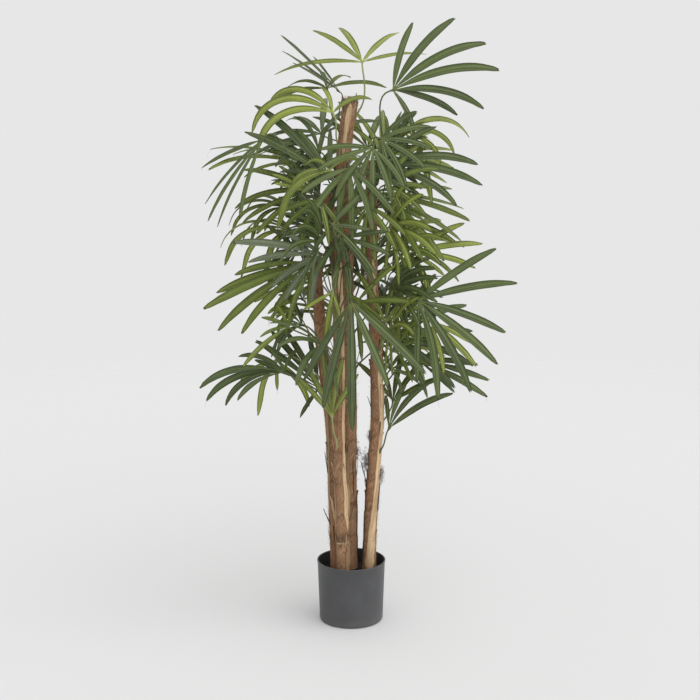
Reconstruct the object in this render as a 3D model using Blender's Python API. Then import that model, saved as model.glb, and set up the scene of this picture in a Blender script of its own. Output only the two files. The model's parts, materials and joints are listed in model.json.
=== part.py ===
"""Artificial lady palm: four fibre-wrapped canes with fan fronds, set in a round plastic pot.

Metres, +Z up, the origin in the middle of the pot's underside. The front is -Y.
"""

import math
import random
from typing import NamedTuple

import bmesh
import bpy
from mathutils import Matrix, Vector
from mathutils.bvhtree import BVHTree

GAP = 0.0003
SEED = 14

POT_HEIGHT = 0.157
POT_TOP_RADIUS = 0.0855
POT_BOTTOM_RADIUS = 0.080
POT_FOOT_BEVEL = 0.006
POT_WALL = 0.0025
POT_FLOOR = 0.004
POT_SIDES = 48
FILL_TOP = 0.124
FILL_EDGE_DROP = 0.004

STEM_SIDES = 10
STEM_FOOT_FLARE = 1.10
STEM_FLARE_HEIGHT = 0.04
SHEATH_LENGTH = 0.082
SHEATH_TUCK = 0.93
SHEATH_LIP = 0.004

HUB_RADIUS = 0.007
HUB_RISE = 0.0008
HUB_HEEL = 0.0038
PETIOLE_FOOT_WIDTH = 0.0045
PETIOLE_WIDTH = 0.0040
PETIOLE_DEPTH = 0.0036
PETIOLE_SEGMENTS = 4
PETIOLE_GAP = 0.0004
PETIOLE_BARE = 0.010
PETIOLE_SEAT = 0.003
GLANCING = 0.2
PETIOLE_RISE = 0.40
PETIOLE_RUN_IN = 0.33
SEAT_START = 0.03
SEAT_REACH = 0.08
HUB_GUARD = 0.011
HUB_GUARD_DEPTH = 0.003
ROOT_DEPTH = 0.002
LEAFLET_WIDTH = 0.0225
LEAFLET_FULL_LENGTH = 0.25
LEAFLET_CROWDING = 0.88
LEAFLET_DEPTH_RATIO = 0.0115
# Each station of a leaflet: its share of the length, and of the full width
LEAFLET_STATIONS = ((0.16, 0.50), (0.45, 0.92), (0.78, 0.95), (1.0, 0.38))
LEAFLET_CLEARANCE = 0.0014
LEAFLET_STEPS = 24
LEAST_LEAFLETS = 3
SHORT_WIDTH_POWER = 0.6
PULL_ALONG = 0.25
FULLEST_BEND = 0.94
LEAST_GAP = math.radians(10)
DROOP_POWER = 1.5

# The crown's space: lowest and highest corner
CROWN_LOW = Vector((-0.372, -0.330, 0.370))
CROWN_HIGH = Vector((0.396, 0.320, 1.500))

COLOURS = {
    "pot_plastic": ((0.095, 0.095, 0.097), 0.55),
    "fill": ((0.020, 0.018, 0.016), 0.95),
    "cane": ((0.200, 0.105, 0.060), 0.90),
    "leaf_dark": ((0.030, 0.062, 0.020), 0.50),
    "leaf_mid": ((0.070, 0.130, 0.030), 0.50),
    "leaf_light": ((0.210, 0.300, 0.085), 0.50),
    "leaf_grey": ((0.090, 0.125, 0.075), 0.45),
}

# Each cane: the points that its centre line passes through, and its radius at the foot and the top
CANES = {
    "stem_a": (
        ((-0.036, 0.012, 0.124), (-0.043, 0.012, 0.31), (-0.046, 0.018, 0.46), (-0.053, 0.021, 0.54),
         (-0.072, 0.029, 0.69), (-0.080, 0.030, 0.80), (-0.088, 0.031, 0.92)),
        0.0166, 0.0146,
    ),
    "stem_b": (
        ((-0.021, -0.030, 0.124), (-0.025, -0.030, 0.34), (-0.030, -0.030, 0.48), (-0.029, -0.030, 0.60),
         (-0.032, -0.030, 0.83), (-0.040, -0.030, 0.97), (-0.056, -0.030, 1.08)),
        0.0164, 0.0138,
    ),
    "stem_c": (
        ((-0.001, 0.030, 0.124), (-0.003, 0.030, 0.38), (-0.003, 0.030, 0.55), (-0.011, 0.030, 0.79),
         (-0.014, 0.030, 1.00), (-0.021, 0.030, 1.14), (-0.012, 0.030, 1.23), (-0.002, 0.030, 1.305)),
        0.0168, 0.0186,
    ),
    "stem_d": (
        ((0.046, 0.010, 0.124), (0.050, 0.010, 0.26), (0.059, 0.010, 0.43), (0.065, 0.010, 0.53),
         (0.061, 0.010, 0.70), (0.051, 0.010, 0.88), (0.049, 0.010, 1.04), (0.047, 0.010, 1.16)),
        0.0170, 0.0138,
    ),
}


class Frond(NamedTuple):
    """One fan frond, as it is set. Lengths are in metres and angles in degrees."""

    stem: str
    height: float  # where the petiole leaves the cane
    hub: tuple  # where the leaflets meet
    bearing: float  # of the fan's middle seen from the front: 0 to the right, 90 up
    lean: float  # of the fan's middle towards the front
    face: float  # 0 where the blade faces the front, 90 where it faces up
    length: float
    droop: float  # how far the tips have bent down
    tone: str
    fan: tuple  # for each leaflet, its turn from the fan's middle and its share of the length


def even(spread, count):
    """A fan whose leaflets are evenly spread, the outer ones a little shorter."""
    turns = (spread * (k / (count - 1) - 0.5) for k in range(count))
    return tuple((turn, 1 - 0.18 * (2 * turn / spread) ** 2) for turn in turns)


# The fronds that show from the front, from the top down
FRONT_FRONDS = (
    Frond("stem_c", 1.270, (0.026, 0.040, 1.393), 90, -50, 0, 0.215, 26, "light",
          ((-62, 0.80), (-30, 0.87), (14, 0.84), (37, 0.92), (80, 1.0))),
    Frond("stem_d", 1.130, (0.098, -0.030, 1.328), 15, 0, 8, 0.250, 38, "dark",
          ((-69, 0.48), (-24, 0.64), (-7, 0.88), (13, 1.0), (29, 1.03), (46, 0.95), (69, 0.68))),
    Frond("stem_c", 1.190, (-0.044, -0.005, 1.274), 120, -12, 20, 0.230, 100, "light",
          ((-66, 0.46), (-20, 0.50), (10, 0.80), (28, 1.05), (48, 1.0))),
    Frond("stem_c", 1.225, (-0.059, 0.070, 1.331), 105, -50, 10, 0.180, 50, "mid",
          ((-75, 0.88), (-38, 0.64), (0, 0.55), (38, 0.72), (72, 0.96))),
    Frond("stem_c", 1.250, (-0.030, 0.045, 1.325), 136, 0, 70, 0.192, 8, "dark",
          ((-30, 0.60), (-13, 0.86), (5, 1.0), (24, 0.70))),
    Frond("stem_b", 1.060, (-0.051, -0.040, 1.121), 138, -8, 20, 0.260, 22, "dark",
          ((-50, 0.50), (-24, 0.58), (-12, 1.0), (0, 0.80), (9, 0.88), (22, 0.48))),
    Frond("stem_c", 1.100, (-0.051, -0.085, 1.143), 170, 5, 20, 0.185, 100, "light",
          ((-116, 0.62), (-50, 0.42), (0, 0.60), (20, 1.05))),
    Frond("stem_c", 1.120, (-0.100, 0.040, 1.143), 158, 0, 74, 0.245, 42, "mid",
          ((-60, 0.60), (-40, 0.80), (-22, 0.92), (-6, 1.02), (10, 1.05), (25, 0.72))),
    Frond("stem_b", 1.050, (-0.211, -0.060, 1.213), 230, 0, 66, 0.230, 20, "dark",
          ((-46, 0.90), (-24, 1.0), (-4, 1.02), (16, 0.98), (38, 0.88))),
    Frond("stem_b", 0.960, (-0.068, -0.075, 1.010), 134, -15, 10, 0.195, 22, "dark",
          ((-60, 0.70), (-12, 0.90), (3, 0.62), (19, 0.50))),
    Frond("stem_b", 0.900, (-0.069, -0.085, 0.945), 186, 8, 12, 0.175, 26, "grey",
          ((-46, 0.62), (-24, 1.22), (-11, 1.0), (12, 0.85), (34, 0.80), (66, 0.75))),
    Frond("stem_a", 0.895, (-0.151, 0.050, 0.988), 160, 0, 70, 0.210, 105, "light", even(120, 6)),
    Frond("stem_a", 0.850, (-0.165, 0.095, 1.040), 158, -20, 60, 0.180, 100, "mid", even(110, 5)),
    Frond("stem_b", 0.840, (-0.094, -0.050, 0.922), 205, 0, 20, 0.270, 20, "mid",
          ((-25, 0.70), (-15, 0.92), (-6, 1.02), (2, 1.03), (11, 0.88), (21, 0.62), (36, 0.45), (58, 0.42))),
    Frond("stem_b", 0.700, (-0.152, -0.090, 0.771), 145, 30, 10, 0.165, 30, "mid",
          ((-64, 0.80), (-36, 0.45), (-4, 0.50), (30, 0.45), (58, 0.92))),
    Frond("stem_a", 0.580, (-0.165, -0.030, 0.648), 150, 5, 22, 0.225, 62, "dark",
          ((-78, 0.36), (-42, 0.50), (-12, 0.55), (15, 1.0), (22, 0.96), (29, 0.80), (39, 0.64))),
    Frond("stem_a", 0.620, (-0.190, 0.080, 0.655), 230, -5, 10, 0.150, 55, "light",
          ((-34, 0.85), (2, 1.0), (42, 0.50), (92, 1.0))),
    Frond("stem_a", 0.530, (-0.081, 0.060, 0.588), 132, -12, 20, 0.190, 10, "dark",
          ((-30, 0.75), (-14, 0.90), (-3, 1.0), (8, 1.0), (18, 0.90), (95, 0.48))),
    Frond("stem_b", 0.480, (-0.047, -0.070, 0.544), 97, -10, 0, 0.150, 12, "light",
          ((-32, 0.80), (-15, 1.0), (0, 1.08), (14, 1.0), (30, 0.88))),
    Frond("stem_b", 0.800, (-0.001, -0.150, 0.842), 280, 20, 0, 0.265, 8, "dark",
          ((-42, 0.78), (-28, 1.0), (-9, 1.12), (17, 0.84), (40, 0.88))),
    Frond("stem_d", 0.775, (0.012, -0.090, 0.830), 350, 45, 10, 0.170, 16, "mid", even(120, 4)),
    Frond("stem_d", 0.800, (0.159, -0.110, 0.839), 332, 4, 0, 0.240, 20, "dark",
          ((-61, 0.80), (-42, 0.98), (-23, 1.04), (-6, 1.02), (12, 0.95), (44, 0.98), (70, 0.90))),
    Frond("stem_d", 0.880, (0.145, 0.000, 0.937), 5, -10, 20, 0.168, 22, "light",
          ((-62, 0.55), (-32, 0.60), (-7, 0.98), (9, 1.06), (30, 0.95))),
    Frond("stem_d", 0.970, (0.112, 0.030, 1.022), 300, -8, 10, 0.165, 18, "light",
          ((-50, 0.70), (-14, 0.80), (18, 0.76), (42, 1.05))),
    Frond("stem_d", 1.080, (0.075, -0.055, 1.156), 0, 0, 10, 0.235, 34, "dark",
          ((-112, 0.38), (-52, 0.55), (-14, 0.84), (1, 1.02), (18, 1.0), (46, 0.66), (70, 0.60))),
    Frond("stem_d", 1.010, (0.045, 0.065, 1.078), 350, 0, 60, 0.262, 24, "mid",
          ((-48, 0.90), (-32, 1.0), (-16, 1.0), (0, 0.97), (16, 0.95), (34, 0.90))),
    Frond("stem_d", 1.145, (0.126, 0.060, 1.228), 4, -10, 30, 0.180, 80, "light",
          ((-52, 1.05), (-20, 0.70), (5, 0.85), (28, 1.12))),
    Frond("stem_d", 0.500, (0.105, 0.060, 0.554), 80, -15, 10, 0.150, 20, "mid",
          ((-50, 0.95), (-24, 1.0), (0, 1.0), (23, 1.0), (48, 0.90))),
    Frond("stem_d", 0.440, (0.093, -0.025, 0.504), 62, -8, 20, 0.168, 32, "dark",
          ((-21, 1.05), (1, 0.95), (15, 0.70), (34, 0.55))),
    Frond("stem_d", 0.600, (0.165, 0.060, 0.660), 350, 0, 30, 0.190, 14, "dark",
          ((-26, 0.65), (-14, 1.0), (-3, 1.02), (11, 0.82), (34, 0.60))),
    Frond("stem_d", 0.720, (0.193, 0.005, 0.770), 312, -8, 20, 0.175, 14, "light", even(44, 4)),
    Frond("stem_d", 0.700, (0.082, -0.055, 0.777), 82, -40, 10, 0.150, 20, "mid", even(110, 5)),
    Frond("stem_c", 0.810, (0.024, 0.060, 0.866), 72, -35, 10, 0.165, 20, "dark", even(100, 6)),
    Frond("stem_b", 0.985, (-0.045, -0.115, 1.019), 316, 8, 10, 0.150, 14, "dark",
          ((-80, 0.55), (-30, 0.60), (0, 1.0), (40, 0.60), (100, 0.85))),
    Frond("stem_a", 0.900, (-0.093, 0.110, 0.996), 104, -35, 10, 0.190, 20, "dark",
          ((-60, 0.82), (-36, 0.95), (-12, 1.0), (12, 0.95), (34, 0.62), (54, 0.50))),
    Frond("stem_c", 1.070, (0.040, 0.110, 1.185), 50, -50, 10, 0.200, 35, "mid", even(150, 6)),
    Frond("stem_b", 0.800, (-0.044, -0.110, 0.858), 256, 10, 10, 0.130, 12, "light",
          ((-46, 0.60), (0, 1.0), (34, 0.62))),
)

# The fronds behind follow one rule: they climb round the back by the golden angle
BACK_COUNT = 12
BACK_LOW = 0.72
BACK_HIGH = 1.22
BACK_SWEEP = (14.0, 166.0)
BACK_REACH = (0.105, 0.150)
BACK_LENGTH = (0.185, 0.225)
BACK_TONES = ("dark", "mid", "dark", "light", "dark", "mid", "grey")
GOLDEN_SHARE = 0.618


def clear_scene():
    for obj in list(bpy.data.objects):
        bpy.data.objects.remove(obj, do_unlink=True)


def material(name):
    colour, roughness = COLOURS[name]
    mat = bpy.data.materials.get(name)
    if mat is None:
        mat = bpy.data.materials.new(name)
        mat.use_nodes = True
        shader = mat.node_tree.nodes["Principled BSDF"]
        shader.inputs["Base Color"].default_value = (*colour, 1.0)
        shader.inputs["Roughness"].default_value = roughness
        shader.inputs["Metallic"].default_value = 0.0
    return mat


def add_object(name, bm, material_name, sharp_angle=None):
    """Closes a bmesh into a named object, with its faces turned outwards."""
    bmesh.ops.triangulate(bm, faces=bm.faces[:])
    bmesh.ops.recalc_face_normals(bm, faces=bm.faces[:])
    if bm.calc_volume(signed=True) < 0:
        bmesh.ops.reverse_faces(bm, faces=bm.faces[:])
    mesh = bpy.data.meshes.new(name)
    bm.to_mesh(mesh)
    bm.free()
    mesh.materials.append(material(material_name))
    if sharp_angle is not None:
        mesh.shade_smooth()
        mesh.set_sharp_from_angle(angle=math.radians(sharp_angle))
    obj = bpy.data.objects.new(name, mesh)
    bpy.context.scene.collection.objects.link(obj)
    return obj


def turned(profile, sides):
    """A closed solid of revolution about Z. The profile runs between two points on the axis."""
    bm = bmesh.new()
    rings = []
    for radius, z in profile:
        if radius == 0:
            rings.append([bm.verts.new((0, 0, z))])
            continue
        angles = (2 * math.pi * i / sides for i in range(sides))
        rings.append([bm.verts.new((radius * math.cos(a), radius * math.sin(a), z)) for a in angles])
    for low, high in zip(rings, rings[1:]):
        for i in range(sides):
            j = (i + 1) % sides
            corners = [low[i % len(low)], low[j % len(low)], high[j % len(high)], high[i % len(high)]]
            bm.faces.new(list(dict.fromkeys(corners)))
    return bm


def pot_outer_radius(z):
    return POT_BOTTOM_RADIUS + (POT_TOP_RADIUS - POT_BOTTOM_RADIUS) * z / POT_HEIGHT


def make_pot():
    """A thin tapered pot with a rounded foot and a floor."""
    profile = [(0, 0), (POT_BOTTOM_RADIUS - POT_FOOT_BEVEL, 0)]
    for step in range(1, 4):
        angle = math.radians(30 * step)
        radius = pot_outer_radius(POT_FOOT_BEVEL) - POT_FOOT_BEVEL * (1 - math.sin(angle))
        profile.append((radius, POT_FOOT_BEVEL * (1 - math.cos(angle))))
    profile += [
        (POT_TOP_RADIUS, POT_HEIGHT),
        (POT_TOP_RADIUS - POT_WALL, POT_HEIGHT),
        (pot_outer_radius(POT_FLOOR) - POT_WALL - POT_FOOT_BEVEL / 2, POT_FLOOR),
        (0, POT_FLOOR),
    ]
    return add_object("pot", turned(profile, POT_SIDES), "pot_plastic", 40)


def make_fill():
    """The cast filling that holds the canes, just inside the pot's wall."""
    def inner(z):
        share = (z - POT_FLOOR) / (POT_HEIGHT - POT_FLOOR)
        low = pot_outer_radius(POT_FLOOR) - POT_WALL - POT_FOOT_BEVEL / 2
        return low + (POT_TOP_RADIUS - POT_WALL - low) * share - 2 * GAP

    foot = POT_FLOOR + GAP
    edge = FILL_TOP - FILL_EDGE_DROP
    flat = inner(edge) - FILL_EDGE_DROP
    profile = [(0, foot), (inner(foot), foot), (inner(edge), edge), (flat, FILL_TOP), (0, FILL_TOP)]
    return add_object("pot_fill", turned(profile, POT_SIDES), "fill")


def smooth_point(points, at):
    """A point of the Catmull-Rom curve through the points, whose parameter is the height."""
    last = len(points) - 1
    k = next(i for i in range(last) if at <= points[i + 1][2] or i == last - 1)
    a, b, c, d = (Vector(points[min(max(k + i, 0), last)]) for i in (-1, 0, 1, 2))
    t = (at - b.z) / (c.z - b.z)
    spot = 0.5 * (2 * b + (c - a) * t + (2 * a - 5 * b + 4 * c - d) * t * t + (3 * b - 3 * c + d - a) * t**3)
    spot.z = at
    return spot


def cane_radius(z, top, radius_low, radius_top):
    """The taper and the flare at the foot."""
    share = (z - FILL_TOP) / (top - FILL_TOP)
    radius = radius_low + (radius_top - radius_low) * share
    flare = max(0.0, 1 - (z - FILL_TOP) / STEM_FLARE_HEIGHT)
    return radius * (1 + (STEM_FOOT_FLARE - 1) * flare)


def cane_stations(points, radius_low, radius_top):
    """Heights and radii: each sheath is tucked in at its foot and stands proud at its lip."""
    foot = FILL_TOP + GAP
    top = points[-1][2]
    stations = []
    sheaths = round((top - foot) / SHEATH_LENGTH)
    length = (top - foot) / sheaths
    for i in range(sheaths):
        low = foot + i * length
        for z, tuck in ((low, SHEATH_TUCK if i else 1.0), (low + length - SHEATH_LIP, 1.0)):
            stations.append((z, cane_radius(z, top, radius_low, radius_top) * tuck))
    stations.append((top, radius_top * SHEATH_TUCK))
    return stations


def make_cane(name):
    points, radius_low, radius_top = CANES[name]
    bm = bmesh.new()
    rings = []
    stations = cane_stations(points, radius_low, radius_top)
    for k, (z, radius) in enumerate(stations):
        centre = smooth_point(points, z)
        ahead = smooth_point(points, min(z + 0.01, points[-1][2]))
        behind = smooth_point(points, max(z - 0.01, points[0][2]))
        turn = Vector((0, 0, 1)).rotation_difference(ahead - behind) if k else Matrix.Identity(3)
        ring = []
        for i in range(STEM_SIDES):
            angle = 2 * math.pi * (i + 0.5 * (k % 2)) / STEM_SIDES
            rim = Vector((math.cos(angle), math.sin(angle), 0)) * radius
            ring.append(bm.verts.new(centre + turn @ rim))
        rings.append(ring)
    for k, (low, high) in enumerate(zip(rings, rings[1:])):
        for i in range(STEM_SIDES):
            j = (i + 1) % STEM_SIDES
            if k % 2 == 0:
                bm.faces.new((low[i], low[j], high[i]))
                bm.faces.new((high[i], low[j], high[j]))
            else:
                bm.faces.new((low[i], high[j], high[i]))
                bm.faces.new((low[i], low[j], high[j]))
    bm.faces.new(rings[0][::-1])
    bm.faces.new(rings[-1])
    return add_object(name, bm, "cane", 30)


def frond_axes(frond):
    """The middle leaflet's direction, and the way that the blade's upper side faces."""
    bearing, lean, face = (math.radians(v) for v in (frond.bearing, frond.lean, frond.face))
    along = Vector((math.cos(lean) * math.cos(bearing), -math.sin(lean), math.cos(lean) * math.sin(bearing)))
    front = Vector((0, -1, 0))
    front = (front - along * front.dot(along)).normalized()
    upward = along.cross(front)
    if upward.z < 0:
        upward.negate()
    return along, (front * math.cos(face) + upward * math.sin(face)).normalized()


def solid_tree(vertices, faces):
    return BVHTree.FromPolygons([tuple(v) for v in vertices], faces)


class Placed:
    """What already has its place, as small trees with a ball round each, to test a new piece against."""

    def __init__(self):
        self.items = []

    def add_sections(self, sections, owner):
        self.add(flat(sections), section_faces(len(sections)), owner)

    def add(self, vertices, faces, owner):
        centre = sum(vertices, Vector()) / len(vertices)
        radius = max((v - centre).length for v in vertices)
        self.items.append((centre, radius, solid_tree(vertices, faces), owner))

    def hits(self, sections, skip=lambda owner: False):
        vertices = flat(sections)
        centre = sum(vertices, Vector()) / len(vertices)
        radius = max((v - centre).length for v in vertices)
        tree = solid_tree(vertices, section_faces(len(sections)))
        for other_centre, other_radius, other, owner in self.items:
            if skip(owner) or (other_centre - centre).length > radius + other_radius:
                continue
            if tree.overlap(other):
                return True
        return False


def flat(sections):
    return [corner for section in sections for corner in section]


def blade_sections(spots, sides, normals, half_widths, depths, grow=0.0):
    """Three-cornered sections: left edge, right edge and keel. They are grown for a clearance test."""
    sections = []
    for spot, side, normal, half, depth in zip(spots, sides, normals, half_widths, depths):
        left = spot + side * (half + grow) + normal * grow
        right = spot - side * (half + grow) + normal * grow
        keel = spot - normal * (depth + grow)
        sections.append((left, right, keel))
    return sections


def section_faces(count):
    """The walls between sections that follow each other, with both ends closed."""
    faces = [(0, 1, 2), (3 * count - 1, 3 * count - 2, 3 * count - 3)]
    for k in range(count - 1):
        a = 3 * k
        for i in range(3):
            j = (i + 1) % 3
            faces.append((a + i, a + 3 + i, a + 3 + j, a + j))
    return faces


class Leaflet(NamedTuple):
    """One leaflet as placed. Angles are in radians."""

    nominal: float  # its turn in the fan, which orders the hub's corners
    angle: float
    tilt: float
    length: float
    droop: float
    gap: float


def leaflet_line(origin, along, normal, leaflet, shares):
    """Points down a leaflet: it leaves the hub in the blade's plane and bends down towards its tip."""
    across = normal.cross(along)
    start = along * math.cos(leaflet.angle) + across * math.sin(leaflet.angle)
    start = (start * math.cos(leaflet.tilt) + normal * math.sin(leaflet.tilt)).normalized()
    down = (Vector((0, 0, -1)) + PULL_ALONG * start).normalized()
    axis = start.cross(down)
    room = start.angle(down) * FULLEST_BEND
    axis = axis.normalized() if axis.length > 1e-4 else across
    spots, directions = [], []
    spot = origin.copy()
    done = 0.0
    for share in shares:
        while done < share - 1e-6:
            step = min(1.0 / LEAFLET_STEPS, share - done)
            bend = min(leaflet.droop * (done + step / 2) ** DROOP_POWER, room)
            spot = spot + (Matrix.Rotation(bend, 3, axis) @ start) * (leaflet.length * step)
            done += step
        bend = min(leaflet.droop * share**DROOP_POWER, room)
        spots.append(spot.copy())
        directions.append(Matrix.Rotation(bend, 3, axis) @ start)
    return start, spots, directions


def leaflet_width(length):
    """Short leaflets are narrower, though less than in proportion."""
    return LEAFLET_WIDTH * (length / LEAFLET_FULL_LENGTH) ** SHORT_WIDTH_POWER


def leaflet_sections(hub, along, normal, leaflet, grow=0.0):
    """A leaflet's sections past the hub: it widens, then narrows to a blunt tip."""
    shares = [share for share, _ in LEAFLET_STATIONS]
    start, spots, directions = leaflet_line(hub, along, normal, leaflet, shares)
    sides, normals, halves, depths = [], [], [], []
    side = normal.cross(start).normalized()
    for (share, width), direction in zip(LEAFLET_STATIONS, directions):
        side = (side - direction * side.dot(direction)).normalized()
        sides.append(side)
        normals.append(direction.cross(side).normalized())
        room = LEAFLET_CROWDING * leaflet.length * share * math.sin(leaflet.gap / 2)
        halves.append(min(leaflet_width(leaflet.length) * width / 2, room))
        depths.append(LEAFLET_DEPTH_RATIO * leaflet.length)
    return blade_sections(spots, sides, normals, halves, depths, grow)


def cane_side(name, height, towards):
    """A point on a cane's surface at a height, on the side that faces a place."""
    points, radius_low, radius_top = CANES[name]
    centre = smooth_point(points, height)
    out = Vector((towards.x - centre.x, towards.y - centre.y, 0)).normalized()
    return centre + out * cane_radius(height, points[-1][2], radius_low, radius_top), out


def petiole_line(frond, hub, along, lift, swing):
    """A petiole leaves its cane upwards and outwards, and runs into the blade along its middle."""
    foot, out = cane_side(frond.stem, frond.height, hub)
    out = Matrix.Rotation(swing, 3, "Z") @ out
    reach = (hub - foot).length
    rise = (out + Vector((0, 0, lift))).normalized()
    ends = (
        foot,
        foot + rise * reach * PETIOLE_RISE,
        hub - along * reach * PETIOLE_RUN_IN,
        hub - along * HUB_RADIUS,
    )
    spots, directions = [], []
    for k in range(PETIOLE_SEGMENTS + 1):
        t = k / PETIOLE_SEGMENTS
        u = 1 - t
        weights = (u**3, 3 * u * u * t, 3 * u * t * t, t**3)
        slopes = (-3 * u * u, 3 * u * u - 6 * u * t, 6 * u * t - 3 * t * t, 3 * t * t)
        spots.append(sum((p * w for p, w in zip(ends, weights)), Vector()))
        directions.append(sum((p * w for p, w in zip(ends, slopes)), Vector()).normalized())
    return spots, directions


def petiole_sections(spots, directions, normal, grow=0.0):
    """A petiole's sections from its foot on. Their turn is carried back from the blade, so none is twisted."""
    side = directions[-1].cross(normal).normalized()
    sides, normals, halves = [], [], []
    for k in range(PETIOLE_SEGMENTS, -1, -1):
        direction = directions[k]
        side = (side - direction * side.dot(direction)).normalized()
        share = k / PETIOLE_SEGMENTS
        sides.insert(0, side)
        normals.insert(0, side.cross(direction))
        halves.insert(0, (PETIOLE_FOOT_WIDTH + (PETIOLE_WIDTH - PETIOLE_FOOT_WIDTH) * share) / 2)
    depths = [PETIOLE_DEPTH] * len(spots)
    return blade_sections(spots, sides, normals, halves, depths, grow)


def past_the_bark(sections, bare):
    """A petiole's sections without its first stretch, which is by nature close to the cane."""
    first, second = sections[0], sections[1]
    share = min(0.9, bare / (second[2] - first[2]).length)
    clipped = tuple(a.lerp(b, share) for a, b in zip(first, second))
    return [clipped] + sections[1:]


def root_section(hub, along, normal, angle, grow=0.0):
    """Where a leaflet leaves its hub."""
    spot = ring_corner(hub, along, normal, angle, HUB_RADIUS, 0)
    across = normal.cross(along)
    side = across * math.cos(angle) - along * math.sin(angle)
    half = PETIOLE_WIDTH / 2 + grow
    edge = spot + normal * grow
    return (edge + side * half, edge - side * half, spot - normal * (ROOT_DEPTH + grow))


def hub_guard(hub, along, normal, grow=0.0):
    """A flat block round the hub, to keep other fronds out of it."""
    across = normal.cross(along)
    reach = HUB_GUARD + grow
    sections = []
    for share in (-1, 0, 1):
        half = reach * (1 if share == 0 else 0.4)
        spot = hub + along * reach * share
        keel = spot - normal * (HUB_GUARD_DEPTH + grow)
        sections.append((spot + across * half, spot - across * half, keel))
    return sections


def place_petiole(index, frond, along, normal, placed):
    """The first petiole that is clear of the canes and of the other petioles."""
    hub = Vector(frond.hub)
    guard = hub_guard(hub, along, normal, LEAFLET_CLEARANCE)
    if placed.hits(guard):
        print("the hub of frond", index + 1, "is taken")
        return None
    for lift, swing in PETIOLE_TRIALS:
        spots, directions = petiole_line(frond, hub, along, lift, swing)
        grown = petiole_sections(spots, directions, normal, LEAFLET_CLEARANCE)
        if placed.hits(grown, lambda owner: owner in CANES):
            continue
        sections = petiole_sections(spots, directions, normal)
        if placed.hits(past_the_bark(grown, PETIOLE_BARE)) or placed.hits(past_the_bark(sections, PETIOLE_SEAT)):
            continue
        placed.add_sections(sections, (index, "petiole"))
        placed.add_sections(hub_guard(hub, along, normal), (index, "hub"))
        return sections
    print("no room for the petiole of frond", index + 1)
    return None


def inside_crown(points):
    return all(
        CROWN_LOW[i] <= p[i] <= CROWN_HIGH[i]
        for p in points
        for i in range(3)
    )


# What a petiole tries, in turn: how steeply it leaves its cane, and radians round it
PETIOLE_TRIALS = (
    (0.9, 0), (1.6, 0), (0.4, 0), (1.0, 0.5), (1.0, -0.5), (2.4, 0.3), (2.4, -0.3), (0.6, 0.9), (0.6, -0.9),
    (1.6, 1.2), (1.6, -1.2), (3.5, 0), (0.1, 0.3), (0.1, -0.3),
)

# What a leaflet tries, in turn, where its place is taken: degrees round, degrees out of the plane, shares
LEAFLET_TRIALS = (
    (0, 0, 1.0, 1.0), (0, 5, 1.0, 1.0), (0, -5, 1.0, 1.0), (5, 0, 1.0, 1.0), (-5, 0, 1.0, 1.0),
    (0, 10, 0.8, 1.0), (0, -10, 1.2, 1.0), (6, 8, 1.0, 1.0), (-6, 8, 1.0, 1.0), (6, -8, 1.0, 1.0),
    (-6, -8, 1.0, 1.0), (0, 16, 0.6, 1.0), (0, -16, 1.3, 1.0), (0, 22, 1.0, 0.95), (0, -22, 1.0, 0.95),
    (0, 0, 1.0, 0.8), (0, 9, 1.0, 0.8), (0, -9, 1.0, 0.8), (0, 18, 1.0, 0.75), (0, -18, 1.0, 0.75),
    (0, 0, 1.0, 0.62), (0, 14, 1.0, 0.6), (0, -14, 1.0, 0.6),
)


def fan_gaps(fan):
    """The least turn from each leaflet to its neighbours, in radians."""
    turns = [math.radians(turn) for turn, _ in fan]
    steps = [b - a for a, b in zip(turns, turns[1:])]
    around = [steps[0]] + steps + [steps[-1]]
    return [max(min(before, after), LEAST_GAP) for before, after in zip(around, around[1:])]


def place_leaflets(index, frond, along, normal, placed):
    """Spreads a frond's leaflets over its fan. One whose place is taken is moved, shortened or left out."""
    rng = random.Random(SEED * 1000 + index)
    hub = Vector(frond.hub)
    leaflets = []
    for (turn, share), gap in zip(frond.fan, fan_gaps(frond.fan)):
        wander = gap * rng.uniform(-0.12, 0.12)
        length = frond.length * share * rng.uniform(0.96, 1.04)
        droop = math.radians(frond.droop) * rng.uniform(0.75, 1.25)
        for more_turn, tilt, bend, part in LEAFLET_TRIALS:
            leaflet = Leaflet(
                math.radians(turn),
                math.radians(turn + more_turn) + wander,
                math.radians(tilt),
                length * part,
                droop * bend,
                gap,
            )
            grown = leaflet_sections(hub, along, normal, leaflet, LEAFLET_CLEARANCE)
            grown_root = [root_section(hub, along, normal, leaflet.angle, LEAFLET_CLEARANCE), grown[0]]
            if not inside_crown(flat(grown)):
                continue
            if placed.hits(grown, lambda owner: owner in ((index, "hub"), (index, "root"))):
                continue
            if placed.hits(grown_root, lambda owner: owner[0] == index):
                continue
            blade = leaflet_sections(hub, along, normal, leaflet)
            root = [root_section(hub, along, normal, leaflet.angle), blade[0]]
            if placed.hits(blade, lambda owner: owner != (index, "root")):
                continue
            if placed.hits(root, lambda owner: owner != (index, "blade")):
                continue
            leaflets.append(leaflet)
            placed.add_sections(blade, (index, "blade"))
            placed.add_sections(root, (index, "root"))
            break
    return leaflets


def clear_of_cane(point, direction, cane_tree):
    """Where a point of a petiole's end stops, when it runs back to the cane."""
    start = point + direction * SEAT_START
    hit, out = cane_tree.ray_cast(start, -direction, SEAT_REACH)[:2]
    if hit is None:
        return point
    return hit + direction * (PETIOLE_GAP / max(GLANCING, direction.dot(out)))


def seat_foot(section, direction, cane_tree):
    """Runs a petiole's end back to the cane. Its edges are kept clear of the cane's corners too."""
    seated = [clear_of_cane(corner, direction, cane_tree) for corner in section]
    lack = 0.0
    for a, b in zip(seated, seated[1:] + seated[:1]):
        middle = (a + b) / 2
        lack = max(lack, (clear_of_cane(middle, direction, cane_tree) - middle).dot(direction))
    return [corner + direction * lack for corner in seated]


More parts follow.
